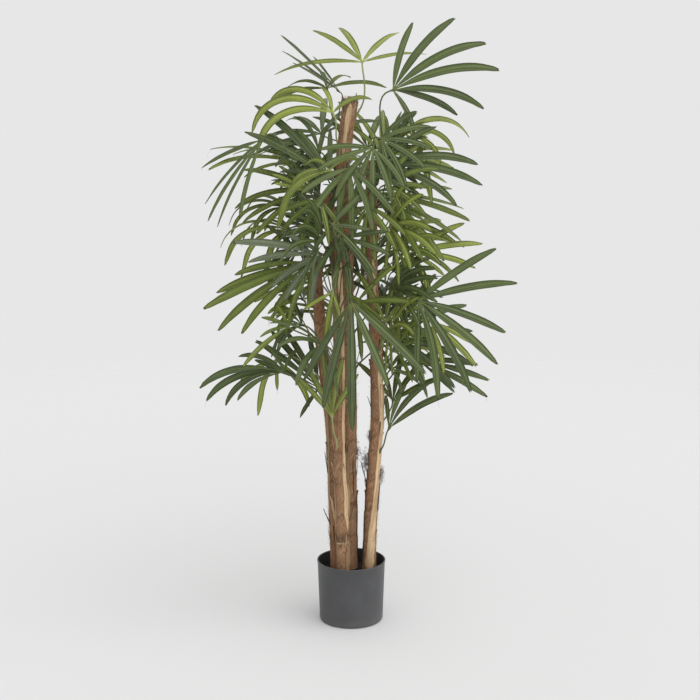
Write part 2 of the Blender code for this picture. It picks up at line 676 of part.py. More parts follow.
def ring_corner(hub, along, normal, angle, radius, rise):
    across = normal.cross(along)
    return hub + (along * math.cos(angle) + across * math.sin(angle)) * radius + normal * rise


def make_frond(name, frond, along, normal, petiole, leaflets):
    """One closed body: arms that share the corners of a small hub, the petiole among them."""
    hub = Vector(frond.hub)
    depth = LEAFLET_DEPTH_RATIO * frond.length
    arms = [(leaf.nominal, leaflet_sections(hub, along, normal, leaf)) for leaf in leaflets]
    arms.append((math.pi, petiole[-2::-1]))
    bm = bmesh.new()
    angles = [angle for angle, _ in arms]
    between = [(a + b) / 2 for a, b in zip(angles, angles[1:-1])]
    between += [(angles[-2] + math.pi) / 2, (angles[0] - math.pi) / 2]
    corners = [bm.verts.new(ring_corner(hub, along, normal, angle, HUB_RADIUS, 0)) for angle in between]
    top = bm.verts.new(hub + normal * HUB_RISE)
    bottom = bm.verts.new(hub - normal * depth)
    for k, (angle, sections) in enumerate(arms):
        low, high = corners[k - 1], corners[k]
        if k == len(leaflets):
            keel = bm.verts.new(ring_corner(hub, along, normal, angle, HUB_HEEL, -HUB_HEEL))
        else:
            keel = bm.verts.new(ring_corner(hub, along, normal, angle, HUB_RADIUS, -depth))
        bm.faces.new((top, low, high))
        bm.faces.new((bottom, keel, low))
        bm.faces.new((bottom, high, keel))
        previous = (high, low, keel)
        for section in sections:
            ring = tuple(bm.verts.new(corner) for corner in section)
            for i in range(3):
                j = (i + 1) % 3
                bm.faces.new((previous[i], ring[i], ring[j], previous[j]))
            previous = ring
        bm.faces.new(previous)
    return add_object(name, bm, "leaf_" + frond.tone)


def back_fronds():
    """The fronds behind, by a rule, so that the crown is full from all sides."""
    rng = random.Random(SEED)
    names = ("stem_c", "stem_a", "stem_d", "stem_b")
    rows = []
    for i in range(BACK_COUNT):
        share = i / (BACK_COUNT - 1)
        low, high = BACK_SWEEP
        azimuth = math.radians(low + (high - low) * ((i * GOLDEN_SHARE) % 1))
        height = BACK_LOW + (BACK_HIGH - BACK_LOW) * share
        stem = next(
            name for name in (names if azimuth < 1.9 else names[::-1])
            if CANES[name][0][-1][2] > height - 0.07
        )
        reach = rng.uniform(*BACK_REACH) * (1.0 - 0.25 * share)
        hub = (reach * math.cos(azimuth), 0.02 + reach * math.sin(azimuth), height)
        bearing = 90 - 70 * math.cos(azimuth)
        fan = even(rng.uniform(120, 175), rng.choice((6, 7, 8)))
        rows.append(Frond(
            stem, height - rng.uniform(0.05, 0.09), hub, bearing, -75 * math.sin(azimuth),
            rng.uniform(10, 40), rng.uniform(*BACK_LENGTH), rng.uniform(15, 55),
            BACK_TONES[i % len(BACK_TONES)], fan,
        ))
    return rows


def mesh_parts(obj):
    vertices = [v.co.copy() for v in obj.data.vertices]
    return vertices, [tuple(p.vertices) for p in obj.data.polygons]


def make_fronds(canes):
    """Petioles are placed first, then the leaflets of each frond in turn, and then the solids are made."""
    placed = Placed()
    trees = {}
    for name, cane in canes.items():
        vertices, faces = mesh_parts(cane)
        placed.add(vertices, faces, name)
        trees[name] = solid_tree(vertices, faces)
    rows = list(FRONT_FRONDS) + back_fronds()
    set_out = []
    for index, frond in enumerate(rows):
        along, normal = frond_axes(frond)
        petiole = place_petiole(index, frond, along, normal, placed)
        if petiole is not None:
            set_out.append((index, frond, along, normal, petiole))
    made = []
    for index, frond, along, normal, petiole in set_out:
        leaflets = place_leaflets(index, frond, along, normal, placed)
        if len(leaflets) < LEAST_LEAFLETS:
            print("frond", index + 1, "has room for", len(leaflets), "leaflets and is left out")
            continue
        direction = (Vector(petiole[1][2]) - Vector(petiole[0][2])).normalized()
        petiole[0] = tuple(seat_foot(petiole[0], direction, trees[frond.stem]))
        made.append(make_frond(f"frond_{index + 1:02d}", frond, along, normal, petiole, leaflets))
        if len(leaflets) < len(frond.fan):
            print("frond", index + 1, "has", len(leaflets), "of", len(frond.fan), "leaflets")
    return made


def main():
    clear_scene()
    root = bpy.data.objects.new("lady_palm", None)
    bpy.context.scene.collection.objects.link(root)
    pieces = [make_pot(), make_fill()]
    canes = {name: make_cane(name) for name in CANES}
    pieces += canes.values()
    pieces += make_fronds(canes)
    for piece in pieces:
        piece.parent = root


main()
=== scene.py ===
import json
import math
import random
from typing import NamedTuple

import bmesh
import bpy
from mathutils import Matrix, Vector, noise
from mathutils.bvhtree import BVHTree

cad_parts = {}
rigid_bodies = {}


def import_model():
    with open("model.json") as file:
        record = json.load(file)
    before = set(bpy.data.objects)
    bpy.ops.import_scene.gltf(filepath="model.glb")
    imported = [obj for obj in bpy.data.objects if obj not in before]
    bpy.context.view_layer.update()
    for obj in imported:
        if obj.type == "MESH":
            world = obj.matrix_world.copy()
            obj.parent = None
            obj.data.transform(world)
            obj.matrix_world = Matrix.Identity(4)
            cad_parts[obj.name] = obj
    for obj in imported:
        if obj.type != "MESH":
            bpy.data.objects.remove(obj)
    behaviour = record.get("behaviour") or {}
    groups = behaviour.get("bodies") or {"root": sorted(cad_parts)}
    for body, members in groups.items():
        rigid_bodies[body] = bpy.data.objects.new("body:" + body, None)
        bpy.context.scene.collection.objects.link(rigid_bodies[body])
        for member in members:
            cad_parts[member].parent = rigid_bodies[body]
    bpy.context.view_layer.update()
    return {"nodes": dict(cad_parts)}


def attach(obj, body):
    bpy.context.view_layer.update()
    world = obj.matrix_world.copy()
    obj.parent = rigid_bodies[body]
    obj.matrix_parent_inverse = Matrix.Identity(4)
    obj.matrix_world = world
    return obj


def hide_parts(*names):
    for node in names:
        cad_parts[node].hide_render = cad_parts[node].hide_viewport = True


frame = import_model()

# Artificial lady palm: four fibre-wrapped canes with fan fronds, in a round plastic pot.
# Metres, +Z up. The front is -Y.

rootBody = "root"


# Small helpers for node trees

def put(tree, kind, values=None, **settings):
    # adds a node: settings are its properties; of its inputs a socket is linked and a number is set
    node = tree.nodes.new(kind)
    for name, value in settings.items():
        setattr(node, name, value)
    for key, value in (values or {}).items():
        if isinstance(value, bpy.types.NodeSocket):
            tree.links.new(value, node.inputs[key])
        else:
            node.inputs[key].default_value = value
    return node


def calc(tree, operation, a, b=0.0, c=0.0):
    return put(tree, "ShaderNodeMath", {0: a, 1: b, 2: c}, operation=operation).outputs[0]


def plus(tree, a, b):
    return calc(tree, "ADD", a, b)


def minus(tree, a, b):
    return calc(tree, "SUBTRACT", a, b)


def times(tree, a, b):
    return calc(tree, "MULTIPLY", a, b)


def timesPlus(tree, a, b, c):
    return calc(tree, "MULTIPLY_ADD", a, b, c)


def over(tree, a, b):
    return calc(tree, "DIVIDE", a, b)


def vectorCalc(tree, operation, a, b=(0, 0, 0)):
    return put(tree, "ShaderNodeVectorMath", {0: a, 1: b}, operation=operation).outputs[0]


def scaled(tree, vector, factor):
    return put(tree, "ShaderNodeVectorMath", {0: vector, "Scale": factor}, operation="SCALE").outputs[0]


def lengthOf(tree, vector):
    return put(tree, "ShaderNodeVectorMath", {0: vector}, operation="LENGTH").outputs["Value"]


def apart(tree, vector):
    return put(tree, "ShaderNodeSeparateXYZ", {0: vector}).outputs


def together(tree, x=0.0, y=0.0, z=0.0):
    return put(tree, "ShaderNodeCombineXYZ", {0: x, 1: y, 2: z}).outputs[0]


def between(tree, value, low, high, toLow=0.0, toHigh=1.0):
    # a smooth step from low to high
    values = {0: value, 1: low, 2: high, 3: toLow, 4: toHigh}
    return put(tree, "ShaderNodeMapRange", values, interpolation_type="SMOOTHSTEP").outputs[0]


def newMaterial(name, roughness, specular=0.5):
    material = bpy.data.materials.new(name)
    material.use_nodes = True
    shader = material.node_tree.nodes["Principled BSDF"]
    shader.inputs["Roughness"].default_value = roughness
    shader.inputs["Specular IOR Level"].default_value = specular
    return material, material.node_tree, shader


def linkToScene(obj):
    bpy.context.scene.collection.objects.link(obj)
    return obj


def finishPiece(obj, slotName, *nodes):
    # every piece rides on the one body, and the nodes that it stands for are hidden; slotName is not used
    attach(obj, rootBody)
    if nodes:
        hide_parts(*nodes)


# Camera, floor and light

studio = {
    "camera": (-0.0032, -3.5, 1.39),
    "tiltDown": 11.2,        # degrees
    "lens": 74.46, "sensor": 36,   # mm
    "surround": 0.80,        # brightness of the pale studio behind the plant
    "rightMore": 0.16, "leftLess": 0.16, "topMore": 0.10,   # and how it changes to the sides and overhead
    "sideways": (0.30, 0.95), "overhead": (0.20, 0.90),     # from where to where it does
    "floorShade": 0.715, "floorRoughness": 0.9, "floorGloss": 0.1,
    "floorRadius": 9.0, "floorSides": 96,
    "floorFade": (1.6, 4.2),  # metres from the pot, over which the floor runs into the surround
    "keyStrength": 1.26,
    "keyAngle": 80,          # degrees across, so its shadows are soft
    "keyFrom": (0.62, -0.58, 0.85),
}


def makeStudio():
    camera = linkToScene(bpy.data.objects.new("camera", bpy.data.cameras.new("camera")))
    camera.location = studio["camera"]
    camera.rotation_euler = (math.radians(90 - studio["tiltDown"]), 0, 0)
    camera.data.lens = studio["lens"]
    camera.data.sensor_width = studio["sensor"]
    bpy.context.scene.camera = camera

    world = bpy.data.worlds.new("surround")
    world.use_nodes = True
    tree = world.node_tree
    parts = apart(tree, put(tree, "ShaderNodeTexCoord").outputs["Generated"])
    near, far = studio["sideways"]
    glow = plus(tree, studio["surround"], between(tree, parts[0], near, far, 0.0, studio["rightMore"]))
    glow = minus(tree, glow, between(tree, parts[0], -near, -far, 0.0, studio["leftLess"]))
    glow = plus(tree, glow, between(tree, parts[2], *studio["overhead"], 0.0, studio["topMore"]))
    tree.links.new(glow, tree.nodes["Background"].inputs["Color"])
    bpy.context.scene.world = world

    key = linkToScene(bpy.data.objects.new("key_light", bpy.data.lights.new("key_light", "SUN")))
    key.data.energy = studio["keyStrength"]
    key.data.angle = math.radians(studio["keyAngle"])
    key.rotation_euler = Vector(studio["keyFrom"]).to_track_quat("Z", "Y").to_euler()

    bm = bmesh.new()
    bmesh.ops.create_circle(bm, cap_ends=True, segments=studio["floorSides"], radius=studio["floorRadius"])
    mesh = bpy.data.meshes.new("floor")
    bm.to_mesh(mesh)
    bm.free()
    floor = linkToScene(bpy.data.objects.new("floor", mesh))
    material, tree, shader = newMaterial("floor", studio["floorRoughness"], studio["floorGloss"])
    shader.inputs["Base Color"].default_value = (*[studio["floorShade"]] * 3, 1)
    away = lengthOf(tree, put(tree, "ShaderNodeTexCoord").outputs["Object"])
    tree.links.new(between(tree, away, *studio["floorFade"], 1.0, 0.0), shader.inputs["Alpha"])
    mesh.materials.append(material)

    bpy.context.scene.view_settings.view_transform = "Standard"
    print("studio made")


makeStudio()


# Shader groups that several materials share

noiseLook = {
    "strandDetail": 3.0, "strandRoughness": 0.6, "strandStep": (0.30, 0.25),
    "patchDetail": 3.0, "patchRoughness": 0.55, "patchStep": (0.35, 0.30),
    "grainDetail": 2.0, "grainRoughness": 0.7, "grainStep": (0.35, 0.65),
}


def shaderGroup(name, inputs, outputs):
    tree = bpy.data.node_groups.new(name, "ShaderNodeTree")
    for label, kind, value in inputs:
        socket = tree.interface.new_socket(label, in_out="INPUT", socket_type="NodeSocket" + kind)
        socket.default_value = value
    for label in outputs:
        tree.interface.new_socket(label, in_out="OUTPUT", socket_type="NodeSocketFloat")
    return tree, tree.nodes.new("NodeGroupInput").outputs, tree.nodes.new("NodeGroupOutput").inputs


def cloud(tree, place, scale, kind):
    values = {"Vector": place, "Scale": scale, "Detail": noiseLook[kind + "Detail"],
              "Roughness": noiseLook[kind + "Roughness"]}
    return put(tree, "ShaderNodeTexNoise", values).outputs[0]


def steepened(tree, value, contrast, step):
    # pulls a noise apart round its middle: the more contrast, the narrower the step
    widest, narrower = step
    half = timesPlus(tree, contrast, -narrower, widest)
    return between(tree, value, minus(tree, 0.5, half), plus(tree, 0.5, half))


def makeStrands():
    # fine lines that run along a surface: fibres, veins and grain
    tree, given, out = shaderGroup(
        "strands",
        [("Across And Along", "Vector", (0, 0, 0)), ("Width", "Float", 0.001), ("Length", "Float", 0.04),
         ("Turn", "Float", 0.0), ("Sharpness", "Float", 0.5)],
        ["Mask", "Height"],
    )
    values = {"Vector": given["Across And Along"], "Angle": given["Turn"]}
    parts = apart(tree, put(tree, "ShaderNodeVectorRotate", values, rotation_type="Z_AXIS").outputs[0])
    across, along = over(tree, parts[0], given["Width"]), over(tree, parts[1], given["Length"])
    lines = cloud(tree, together(tree, across, along, parts[2]), 1.0, "strand")
    tree.links.new(steepened(tree, lines, given["Sharpness"], noiseLook["strandStep"]), out["Mask"])
    tree.links.new(lines, out["Height"])
    return tree


def makePatches():
    # soft uneven patches, for shades that drift over a surface
    tree, given, out = shaderGroup(
        "patches",
        [("Place", "Vector", (0, 0, 0)), ("Size", "Float", 0.03), ("Contrast", "Float", 0.5)],
        ["Mask"],
    )
    spread = cloud(tree, given["Place"], over(tree, 1.0, given["Size"]), "patch")
    tree.links.new(steepened(tree, spread, given["Contrast"], noiseLook["patchStep"]), out["Mask"])
    return tree


def makeGrain():
    # the fine pitting of moulded or rough surfaces
    tree, given, out = shaderGroup(
        "grain",
        [("Place", "Vector", (0, 0, 0)), ("Size", "Float", 0.001)],
        ["Mask", "Height"],
    )
    scale = over(tree, 1.0, given["Size"])
    pits = cloud(tree, given["Place"], scale, "grain")
    cells = put(tree, "ShaderNodeTexVoronoi", {"Vector": given["Place"], "Scale": scale})
    tree.links.new(between(tree, pits, *noiseLook["grainStep"]), out["Mask"])
    tree.links.new(times(tree, pits, cells.outputs["Distance"]), out["Height"])
    return tree


strands, patches, grain = makeStrands(), makePatches(), makeGrain()


# Materials

def strandsOn(tree, place, width, length, sharpness, turn=0.0):
    values = {"Across And Along": place, "Width": width, "Length": length, "Turn": turn,
              "Sharpness": sharpness}
    return put(tree, "ShaderNodeGroup", values, node_tree=strands).outputs


def patchesOn(tree, place, size, contrast):
    values = {"Place": place, "Size": size, "Contrast": contrast}
    return put(tree, "ShaderNodeGroup", values, node_tree=patches).outputs["Mask"]


def grainOn(tree, place, size):
    return put(tree, "ShaderNodeGroup", {"Place": place, "Size": size}, node_tree=grain).outputs


def bodyPlace(tree, stretch=None):
    place = put(tree, "ShaderNodeTexCoord").outputs["Object"]
    if stretch:
        place = put(tree, "ShaderNodeMapping", {"Vector": place, "Scale": stretch}).outputs[0]
    return place


def flatPlace(tree):
    return put(tree, "ShaderNodeUVMap", uv_map="UVMap").outputs[0]


def attribute(tree, name):
    return put(tree, "ShaderNodeAttribute", attribute_name=name).outputs["Fac"]


def rgba(colour):
    return colour if isinstance(colour, bpy.types.NodeSocket) else (*colour, 1.0)


def mixed(tree, factor, first, second):
    values = {0: factor, 6: rgba(first), 7: rgba(second)}
    return put(tree, "ShaderNodeMix", values, data_type="RGBA").outputs[2]


def tinted(tree, colour, mask, share, tint):
    # a share of the tint goes over the colour where the mask is
    return mixed(tree, times(tree, mask, share), colour, tint)


def bumped(tree, shader, height, look):
    strength, distance = look["bump"]
    bump = put(tree, "ShaderNodeBump", {"Height": height, "Strength": strength, "Distance": distance})
    tree.links.new(bump.outputs[0], shader.inputs["Normal"])


# shares of the leaf's width and length, and of each colour; sizes in metres
leafCloth = {
    # veinShare and the vein colour are partly print and partly a painted highlight, the pale glossy streaks
    # along the leaves
    "gloss": 0.38, "veinWidth": 0.0011, "veinLength": 0.09, "veinSharpness": 0.7, "veinShare": 0.30,
    "driftSize": 0.05, "driftContrast": 0.3, "driftShare": 0.30, "ownShare": 0.70,
    "marginOver": (0.35, 0.95), "folds": 4 * math.pi, "foldOver": (0.86, 1.0), "underShare": 0.55,
    "heelOver": (0.11, 0.02), "heelShare": 0.75, "tipOver": (0.965, 1.0), "tipShare": 0.7,
    "smoother": 0.05, "veinRougher": 0.14, "bump": (0.35, 0.0006),
}
# the light tone is partly the fronds' own yellow-green and partly painted light, the light that shines
# through the cloth; the grey tone is the green with a painted sheen
leafLooks = {
    "dark": {"deep": (0.018, 0.034, 0.007), "bright": (0.116, 0.162, 0.042), "vein": (0.230, 0.275, 0.112),
             "underside": (0.130, 0.165, 0.055), "heel": (0.170, 0.210, 0.045), "tip": (0.060, 0.050, 0.022),
             "roughness": 0.36, "foldLine": 0.55, "margin": 0.60},
    "mid": {"deep": (0.036, 0.062, 0.007), "bright": (0.183, 0.238, 0.034), "vein": (0.315, 0.365, 0.098),
            "underside": (0.180, 0.220, 0.058), "heel": (0.250, 0.295, 0.058), "tip": (0.085, 0.072, 0.025),
            "roughness": 0.39, "foldLine": 0.55, "margin": 0.75},
    "light": {"deep": (0.066, 0.102, 0.012), "bright": (0.320, 0.375, 0.058), "vein": (0.500, 0.540, 0.155),
              "underside": (0.260, 0.315, 0.075), "heel": (0.400, 0.440, 0.110), "tip": (0.105, 0.090, 0.032),
              "roughness": 0.41, "foldLine": 0.60, "margin": 0.95},
    "grey": {"deep": (0.046, 0.068, 0.032), "bright": (0.160, 0.190, 0.100), "vein": (0.315, 0.350, 0.235),
             "underside": (0.185, 0.215, 0.125), "heel": (0.170, 0.205, 0.070), "tip": (0.070, 0.062, 0.035),
             "roughness": 0.32, "foldLine": 0.50, "margin": 0.55},
}


def leafMaterial(name, look):
    # satin leaf cloth: fine pale veins along it and lighter folds, both partly print and partly a painted
    # highlight, a paler underside, a yellow heel and a brown tip
    cloth = leafCloth
    material, tree, shader = newMaterial(name, look["roughness"], cloth["gloss"])
    across, share, ownShade = attribute(tree, "across"), attribute(tree, "share"), attribute(tree, "ownShade")
    shifted = vectorCalc(tree, "ADD", flatPlace(tree), together(tree, z=ownShade))
    veins = strandsOn(tree, shifted, cloth["veinWidth"], cloth["veinLength"], cloth["veinSharpness"])
    drift = patchesOn(tree, bodyPlace(tree), cloth["driftSize"], cloth["driftContrast"])
    shade = timesPlus(tree, drift, cloth["driftShare"], times(tree, ownShade, cloth["ownShare"]))
    colour = mixed(tree, shade, look["deep"], look["bright"])
    colour = tinted(tree, colour, veins["Mask"], cloth["veinShare"], look["vein"])
    # the edges hold more dye than the middle, and the folds hold less: their pale lines are partly print and
    # partly a painted highlight
    margin = between(tree, calc(tree, "ABSOLUTE", across), *cloth["marginOver"], 0.0, look["margin"])
    colour = mixed(tree, margin, colour, look["deep"])
    fold = calc(tree, "COSINE", times(tree, across, cloth["folds"]))
    foldLine = between(tree, fold, *cloth["foldOver"], 0.0, look["foldLine"])
    colour = mixed(tree, foldLine, colour, look["vein"])
    colour = tinted(tree, colour, attribute(tree, "under"), cloth["underShare"], look["underside"])
    for end in ("heel", "tip"):
        mask = between(tree, share, *cloth[end + "Over"], 0.0, cloth[end + "Share"])
        colour = mixed(tree, mask, colour, look[end])
    tree.links.new(colour, shader.inputs["Base Color"])
    satin = timesPlus(tree, veins["Mask"], cloth["veinRougher"], look["roughness"] - cloth["smoother"])
    tree.links.new(satin, shader.inputs["Roughness"])
    bumped(tree, shader, veins["Height"], cloth)
    return material


leafMaterials = {tone: leafMaterial("leaf_" + tone, look) for tone, look in leafLooks.items()}

stalkLook = {
    "stretch": (1, 1, 0.2), "streakSize": 0.006, "streakContrast": 0.5,
    "roughness": 0.42, "streakRougher": 0.2, "bump": (0.2, 0.0005),
    "colours": {                # the stalk's own, and where it is worn
        "dark": ((0.060, 0.085, 0.026), (0.105, 0.115, 0.040)),
        "mid": ((0.110, 0.150, 0.040), (0.160, 0.170, 0.060)),
        "light": ((0.230, 0.290, 0.090), (0.300, 0.310, 0.130)),
        "grey": ((0.075, 0.100, 0.045), (0.120, 0.125, 0.060)),
    },
}


def stalkMaterial(name, colour, worn):
    # leaf stalks: smooth, a little streaked, with browned scuffs
    look = stalkLook
    material, tree, shader = newMaterial(name, look["roughness"])
    streak = patchesOn(tree, bodyPlace(tree, look["stretch"]), look["streakSize"], look["streakContrast"])
    tree.links.new(mixed(tree, streak, colour, worn), shader.inputs["Base Color"])
    rough = timesPlus(tree, streak, look["streakRougher"], look["roughness"])
    tree.links.new(rough, shader.inputs["Roughness"])
    bumped(tree, shader, streak, look)
    return material


stalkMaterials = {tone: stalkMaterial("stalk_" + tone, *pair) for tone, pair in stalkLook["colours"].items()}

barkLook = {
    "threads": ((0.0, 0.0016, 0.060), (0.80, 0.0014, 0.030), (-0.60, 0.0013, 0.030)),  # turn, width, length
    "threadHeights": (0.9, 0.9, 0.8), "threadSharpness": 0.6,
    "driftSize": 0.035, "driftContrast": 0.45, "red": (0.310, 0.112, 0.052), "brown": (0.440, 0.215, 0.105),
    "wrapShare": 0.6, "wrapTint": (0.420, 0.265, 0.150),
    "lengthwiseShare": 0.55, "lengthwise": (0.480, 0.310, 0.180),
    "slantShare": 0.45, "slant": (0.520, 0.330, 0.190),
    "gapShare": 0.90, "gap": (0.055, 0.025, 0.016),
    # the hollow colour is painted shade: in the groove where one wrap meets the next, and inside the cut tops
    "hollowShare": 0.55, "hollow": (0.045, 0.025, 0.016),
    "roughness": 0.82, "weaveRougher": 0.12, "gloss": 0.2, "bump": (1.0, 0.0011),
}


def barkMaterial():
    # woven brown fibre: two sets of slanting threads over lengthwise ones, with painted shade that darkens
    # the hollows
    look = barkLook
    material, tree, shader = newMaterial("cane_fibre", look["roughness"], look["gloss"])
    place = flatPlace(tree)
    threads = [strandsOn(tree, place, width, length, look["threadSharpness"], turn)
               for turn, width, length in look["threads"]]
    weave = calc(tree, "MAXIMUM", threads[1]["Mask"], threads[2]["Mask"])
    drift = patchesOn(tree, bodyPlace(tree), look["driftSize"], look["driftContrast"])
    colour = mixed(tree, drift, look["red"], look["brown"])
    colour = tinted(tree, colour, attribute(tree, "wrapShade"), look["wrapShare"], look["wrapTint"])
    colour = tinted(tree, colour, threads[0]["Mask"], look["lengthwiseShare"], look["lengthwise"])
    colour = tinted(tree, colour, threads[1]["Mask"], look["slantShare"], look["slant"])
    colour = tinted(tree, colour, minus(tree, 1.0, weave), look["gapShare"], look["gap"])
    colour = tinted(tree, colour, attribute(tree, "hollow"), look["hollowShare"], look["hollow"])
    tree.links.new(colour, shader.inputs["Base Color"])
    rough = timesPlus(tree, weave, look["weaveRougher"], look["roughness"])
    tree.links.new(rough, shader.inputs["Roughness"])
    height = 0.0
    for thread, part in zip(threads, look["threadHeights"]):
        height = timesPlus(tree, thread["Height"], part, height)
    bumped(tree, shader, height, look)
    return material


huskLook = {
    "fineWidth": 0.0010, "fineLength": 0.12, "fineSharpness": 0.7, "fineShare": 0.45,
    "broadWidth": 0.0042, "broadLength": 0.11, "broadSharpness": 0.75, "broadShare": 0.70,
    "edgeOver": (0.66, 0.98), "edgeShare": 0.85,
    "roughness": 0.55, "fineRougher": 0.15, "gloss": 0.35, "bump": (0.6, 0.0008),
    # the edge colour is painted shadow, where the strip's edges come down to the bark
    "colours": {                # the strip's own, its lines and its edges
        "cream": ((0.700, 0.530, 0.310), (0.400, 0.240, 0.125), (0.200, 0.105, 0.058)),
        "tan": ((0.400, 0.275, 0.150), (0.240, 0.150, 0.080), (0.120, 0.070, 0.042)),
        "dark": ((0.085, 0.055, 0.038), (0.045, 0.030, 0.022), (0.030, 0.020, 0.016)),
    },
}


def huskMaterial(name, pale, line, edge):
    # a split husk strip: pale with tan lines along it, and painted shadow darkening its edges
    look = huskLook
    material, tree, shader = newMaterial(name, look["roughness"], look["gloss"])
    place = flatPlace(tree)
    fine = strandsOn(tree, place, look["fineWidth"], look["fineLength"], look["fineSharpness"])
    broad = strandsOn(tree, place, look["broadWidth"], look["broadLength"], look["broadSharpness"])
    colour = tinted(tree, pale, fine["Mask"], look["fineShare"], line)
    colour = tinted(tree, colour, broad["Mask"], look["broadShare"], line)
    # painted shadow: darker towards the edges
    across = calc(tree, "ABSOLUTE", attribute(tree, "across"))
    colour = mixed(tree, between(tree, across, *look["edgeOver"], 0.0, look["edgeShare"]), colour, edge)
    tree.links.new(colour, shader.inputs["Base Color"])
    rough = timesPlus(tree, fine["Mask"], look["fineRougher"], look["roughness"])
    tree.links.new(rough, shader.inputs["Roughness"])
    bumped(tree, shader, fine["Height"], look)
    return material


huskMaterials = {tone: huskMaterial("husk_" + tone, *trio) for tone, trio in huskLook["colours"].items()}

fibreLook = {
    "driftSize": 0.01, "driftContrast": 0.6, "ownShare": 0.6, "driftShare": 0.4,
    "roughness": 0.8, "gloss": 0.3, "bump": (0.3, 0.0004),
    "colours": {                # the darkest and the palest
        "fibre_hair": ((0.085, 0.048, 0.030), (0.330, 0.215, 0.130)),
        "fibre_net": ((0.130, 0.105, 0.100), (0.380, 0.340, 0.340)),
        "tie_cord": ((0.480, 0.350, 0.210), (0.700, 0.560, 0.380)),
        "leaf_thread": ((0.045, 0.060, 0.025), (0.120, 0.140, 0.060)),
    },
}


def fibreMaterial(name, dark, pale):
    # loose hairs and cords, each with its own shade
    look = fibreLook
    material, tree, shader = newMaterial(name, look["roughness"], look["gloss"])
    drift = patchesOn(tree, bodyPlace(tree), look["driftSize"], look["driftContrast"])
    driftShade = times(tree, drift, look["driftShare"])
    shade = timesPlus(tree, attribute(tree, "ownShade"), look["ownShare"], driftShade)
    tree.links.new(mixed(tree, shade, dark, pale), shader.inputs["Base Color"])
    bumped(tree, shader, drift, look)
    return material


fibreMaterials = {name: fibreMaterial(name, *pair) for name, pair in fibreLook["colours"].items()}

potLook = {
    "driftSize": 0.05, "driftContrast": 0.3, "dark": (0.060, 0.061, 0.064), "pale": (0.075, 0.076, 0.079),
    "ringStretch": (0.02, 0.02, 1), "ringSize": 0.004, "ringContrast": 0.2, "pitSize": 0.0012,
    "insideFoot": 0.080, "insideFlare": 0.035, "insideOver": (0.0012, 0.0022),
    "insideShare": 0.75, "inside": (0.012, 0.012, 0.013),
    "dustOver": (0.030, 0.002), "dustShare": 0.35, "dust": (0.20, 0.19, 0.18),
    "roughness": 0.40, "pitRougher": 0.08, "ringRougher": 0.06, "gloss": 0.45,
    "ringHeight": 0.5, "bump": (0.25, 0.0003),
}


def potMaterial():
    # satin charcoal plastic: fine pitting, faint turning marks and dust low down
    look = potLook
    material, tree, shader = newMaterial("pot_plastic", look["roughness"], look["gloss"])
    body = bodyPlace(tree)
    pits = grainOn(tree, body, look["pitSize"])
    drift = patchesOn(tree, body, look["driftSize"], look["driftContrast"])
    rings = patchesOn(tree, bodyPlace(tree, look["ringStretch"]), look["ringSize"], look["ringContrast"])
    colour = mixed(tree, drift, look["dark"], look["pale"])
    height = apart(tree, body)[2]
    # inside, where no light reaches, the plastic looks nearly black
    radius = lengthOf(tree, vectorCalc(tree, "MULTIPLY", body, (1, 1, 0)))
    deeper = minus(tree, timesPlus(tree, height, look["insideFlare"], look["insideFoot"]), radius)
    inside = between(tree, deeper, *look["insideOver"], 0.0, look["insideShare"])
    colour = mixed(tree, inside, colour, look["inside"])
    dust = times(tree, between(tree, height, *look["dustOver"]), pits["Mask"])
    colour = tinted(tree, colour, dust, look["dustShare"], look["dust"])
    tree.links.new(colour, shader.inputs["Base Color"])
    rough = timesPlus(tree, pits["Mask"], look["pitRougher"], look["roughness"])
    tree.links.new(timesPlus(tree, rings, look["ringRougher"], rough), shader.inputs["Roughness"])
    bumped(tree, shader, timesPlus(tree, rings, look["ringHeight"], pits["Height"]), look)
    return material


fillLook = {
    "driftSize": 0.02, "driftContrast": 0.6, "dark": (0.010, 0.009, 0.008), "pale": (0.030, 0.026, 0.022),
    "crumbSize": 0.004, "crumbShare": 0.4, "crumb": (0.050, 0.040, 0.030),
    "roughness": 0.95, "gloss": 0.15, "bump": (0.8, 0.0025),
}


def fillMaterial():
    # the cast filling, dull and crumbly, near black: partly its own dark colour and partly painted shade, as
    # it lies deep in the pot
    look = fillLook
    material, tree, shader = newMaterial("pot_fill", look["roughness"], look["gloss"])
    body = bodyPlace(tree)
    crumbs = grainOn(tree, body, look["crumbSize"])
    drift = patchesOn(tree, body, look["driftSize"], look["driftContrast"])
    colour = mixed(tree, drift, look["dark"], look["pale"])
    colour = tinted(tree, colour, crumbs["Mask"], look["crumbShare"], look["crumb"])
    tree.links.new(colour, shader.inputs["Base Color"])
    bumped(tree, shader, crumbs["Height"], look)
    return material


barkFinish, potFinish, fillFinish = barkMaterial(), potMaterial(), fillMaterial()
print("materials made")


# Geometry trees: pleated blades, round rods and loose fibres

def geometryTree(name, inputs):
    tree = bpy.data.node_groups.new(name, "GeometryNodeTree")
    tree.interface.new_socket("Geometry", in_out="INPUT", socket_type="NodeSocketGeometry")
    for label, kind, value in inputs:
        socket = tree.interface.new_socket(label, in_out="INPUT", socket_type="NodeSocket" + kind)
        socket.default_value = value
    tree.interface.new_socket("Material", in_out="INPUT", socket_type="NodeSocketMaterial")
    tree.interface.new_socket("Geometry", in_out="OUTPUT", socket_type="NodeSocketGeometry")
    return tree, tree.nodes.new("NodeGroupInput").outputs


def closeTree(tree, given, shape):
    # plain faces in the end: instances realized and the material set
    plain = put(tree, "GeometryNodeRealizeInstances", {0: shape}).outputs[0]
    dressed = put(tree, "GeometryNodeSetMaterial", {"Geometry": plain, "Material": given["Material"]})
    tree.links.new(dressed.outputs[0], tree.nodes.new("NodeGroupOutput").inputs[0])
    return tree


def named(tree, name, kind="FLOAT"):
    return put(tree, "GeometryNodeInputNamedAttribute", {"Name": name}, data_type=kind).outputs["Attribute"]


